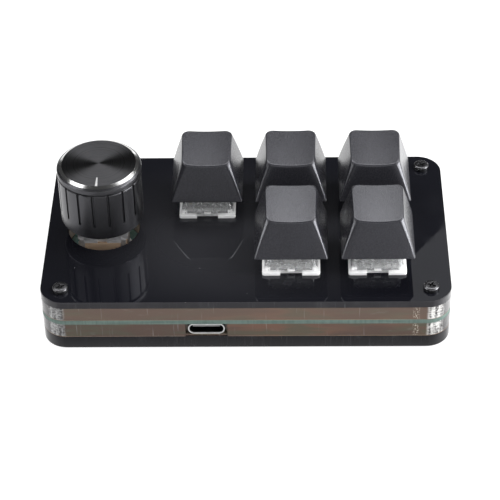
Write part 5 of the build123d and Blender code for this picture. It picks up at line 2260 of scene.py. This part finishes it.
@dataclass
class Studio:
    """Floor, surroundings, lamps and the camera at the photograph's angle."""

    azimuth: float = 1.61
    elevation: float = 40.38
    roll: float = 1.32
    distance: float = 0.4996
    focal: float = 141.53
    target: Point = (0.66, -0.02, 8.0)
    surround: float = 0.07
    camera_glow: float = 0.9
    glow_fade: Flat = (0.15, 0.5)
    camera_colour: float = 0.25
    mirror_left: float = 1.25
    mirror_right: float = 2.4
    mirror_front: float = 0.4
    mirror_colour: float = 0.15
    plain_colour: float = 0.8
    case_front: float = 0.028
    case_side: float = 0.053
    front_fade: float = 0.006
    left_fade: float = 0.005
    right_fade: float = 0.02
    side_change: float = 0.01
    floor_drop: float = 0.02
    floor_radii: tuple[float, ...] = (400.0, 1500.0, 6000.0)
    lamps: Sequence[Softbox] = field(
        default_factory=lambda: (
            Softbox("lamp_back", 180.0, 62.5, 0.25, (0.36, 0.08), 7.3),
            Softbox("lamp_right", 70.0, 42.0, 0.9, (0.8, 0.7), 2.8),
            Softbox("lamp_right_strip", 94.0, 40.0, 0.9, (0.5, 0.3), 6.5),
            Softbox("lamp_left", -76.0, 50.0, 0.9, (0.5, 0.3), 4.0),
            Softbox("lamp_front", 0.0, 11.0, 1.0, (1.0, 0.24), 0.8),
            Softbox("lamp_front_high", -5.0, 38.0, 0.9, (0.7, 0.35), 2.2),
            Softbox("lamp_right_low", 80.0, 5.0, 0.7, (0.6, 0.26), 20.0),
            Softbox("lamp_left_low", -80.0, 4.0, 0.7, (0.6, 0.2), 9.0),
            Softbox("panel_back_right", 165.1, 42.0, 1.01, (0.3, 0.18), 0.65, -126.0),
        )
    )

    def build(self) -> None:
        """Make the floor, the surroundings, the lamps and the camera."""
        self._floor()
        self._world()
        for lamp in self.lamps:
            lamp.build()
        self._camera()

    def _floor(self) -> None:
        """Wide pale floor that shows white to the camera and in gloss, and keeps a faint shadow."""
        draft = MeshDraft()
        rings = [draft.level(circle(radius, 64), -self.floor_drop) for radius in self.floor_radii]
        draft.face(rings[0])
        draft.bands(rings)
        material = bpy.data.materials.new("studio_floor")
        material.use_nodes = True
        material.node_tree.nodes.clear()
        graph = Graph(material.node_tree)
        rays = graph.add("ShaderNodeLightPath").outputs
        camera = rays["Is Camera Ray"]
        mirrored = graph.math("MAXIMUM", rays["Is Glossy Ray"], rays["Is Transmission Ray"])
        reach = graph.length(graph.place())
        white = graph.math("MULTIPLY", camera, graph.ramp(reach, *self.glow_fade, self.camera_glow, 1.0))
        shade = graph.math("MULTIPLY", camera, self.camera_colour)
        shade = graph.math("MULTIPLY_ADD", mirrored, self.mirror_colour, shade)
        unseen = graph.math("SUBTRACT", 1.0, graph.math("MAXIMUM", camera, mirrored))
        shade = graph.math("MULTIPLY_ADD", unseen, self.plain_colour, shade)
        strength = graph.math("MULTIPLY_ADD", mirrored, self._mirror(graph), white)
        diffuse = graph.add("ShaderNodeBsdfDiffuse", {"Color": shade}).outputs[0]
        glow = graph.add("ShaderNodeEmission", {"Strength": strength}).outputs[0]
        mixed = graph.add("ShaderNodeAddShader", {0: diffuse, 1: glow}).outputs[0]
        graph.add("ShaderNodeOutputMaterial", {"Surface": mixed})
        draft.build("studio_floor", [material])

    def _mirror(self, graph: Graph) -> Socket:
        """How bright the floor looks in gloss: brightest on the right, dim straight in front of the case.

        Args:
            graph: Graph of the floor's material.

        Returns:
            The brightness.
        """
        across, along, _ = graph.split(graph.place())
        near, side = self.case_front, self.case_side
        front = graph.ramp(along, -near - self.front_fade, -near, 1.0, 0.0)
        left = graph.ramp(across, -side - self.left_fade, -side)
        right = graph.ramp(across, side, side + self.right_fade, 1.0, 0.0)
        middle = graph.math("MULTIPLY", front, graph.math("MULTIPLY", left, right))
        dim = graph.math("MULTIPLY_ADD", middle, self.mirror_front - 1.0, 1.0)
        glow = graph.ramp(across, side, side + self.side_change, self.mirror_left, self.mirror_right)
        return graph.math("MULTIPLY", glow, dim)

    def _world(self) -> None:
        """Dim even surroundings, white to the camera."""
        world = bpy.data.worlds.new("studio_surround")
        world.use_nodes = True
        graph = Graph(world.node_tree)
        camera = graph.add("ShaderNodeLightPath").outputs["Is Camera Ray"]
        strength = graph.math("MAXIMUM", camera, self.surround)
        graph.join(world.node_tree.nodes["Background"], {"Color": (1.0, 1.0, 1.0), "Strength": strength})
        bpy.context.scene.world = world

    def _camera(self) -> None:
        """Camera at the photograph's viewing angle."""
        turn, rise, roll = (math.radians(angle) for angle in (self.azimuth, self.elevation, self.roll))
        back = direction(turn, rise)
        right = Vector((math.cos(turn), math.sin(turn), 0.0))
        up = back.cross(right)
        across = right * math.cos(roll) - up * math.sin(roll)
        upright = right * math.sin(roll) + up * math.cos(roll)
        data = bpy.data.cameras.new("view")
        data.lens = self.focal
        data.sensor_width = 36.0
        data.clip_start = 0.01
        data.clip_end = 50.0
        camera = link("view", data)
        place = Matrix((across, upright, back)).transposed().to_4x4()
        place.translation = Vector(self.target) * MM + back * self.distance
        camera.matrix_world = place
        bpy.context.scene.camera = camera


def main() -> None:
    """Build every sub-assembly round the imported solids, then the studio."""
    logging.basicConfig(level=logging.INFO, format="%(message)s")
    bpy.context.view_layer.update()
    finishes = FinishLibrary()
    finishes.dress_nodes()
    trees = RepeatTrees()
    for assembly in (Case, Keycaps, Switches, Knob, Encoder, BoardDetails):
        assembly(finishes, trees).build()
    Studio().build()
    bpy.context.scene.view_settings.view_transform = "Standard"
    bpy.context.view_layer.update()


if __name__ == "__main__":
    main()
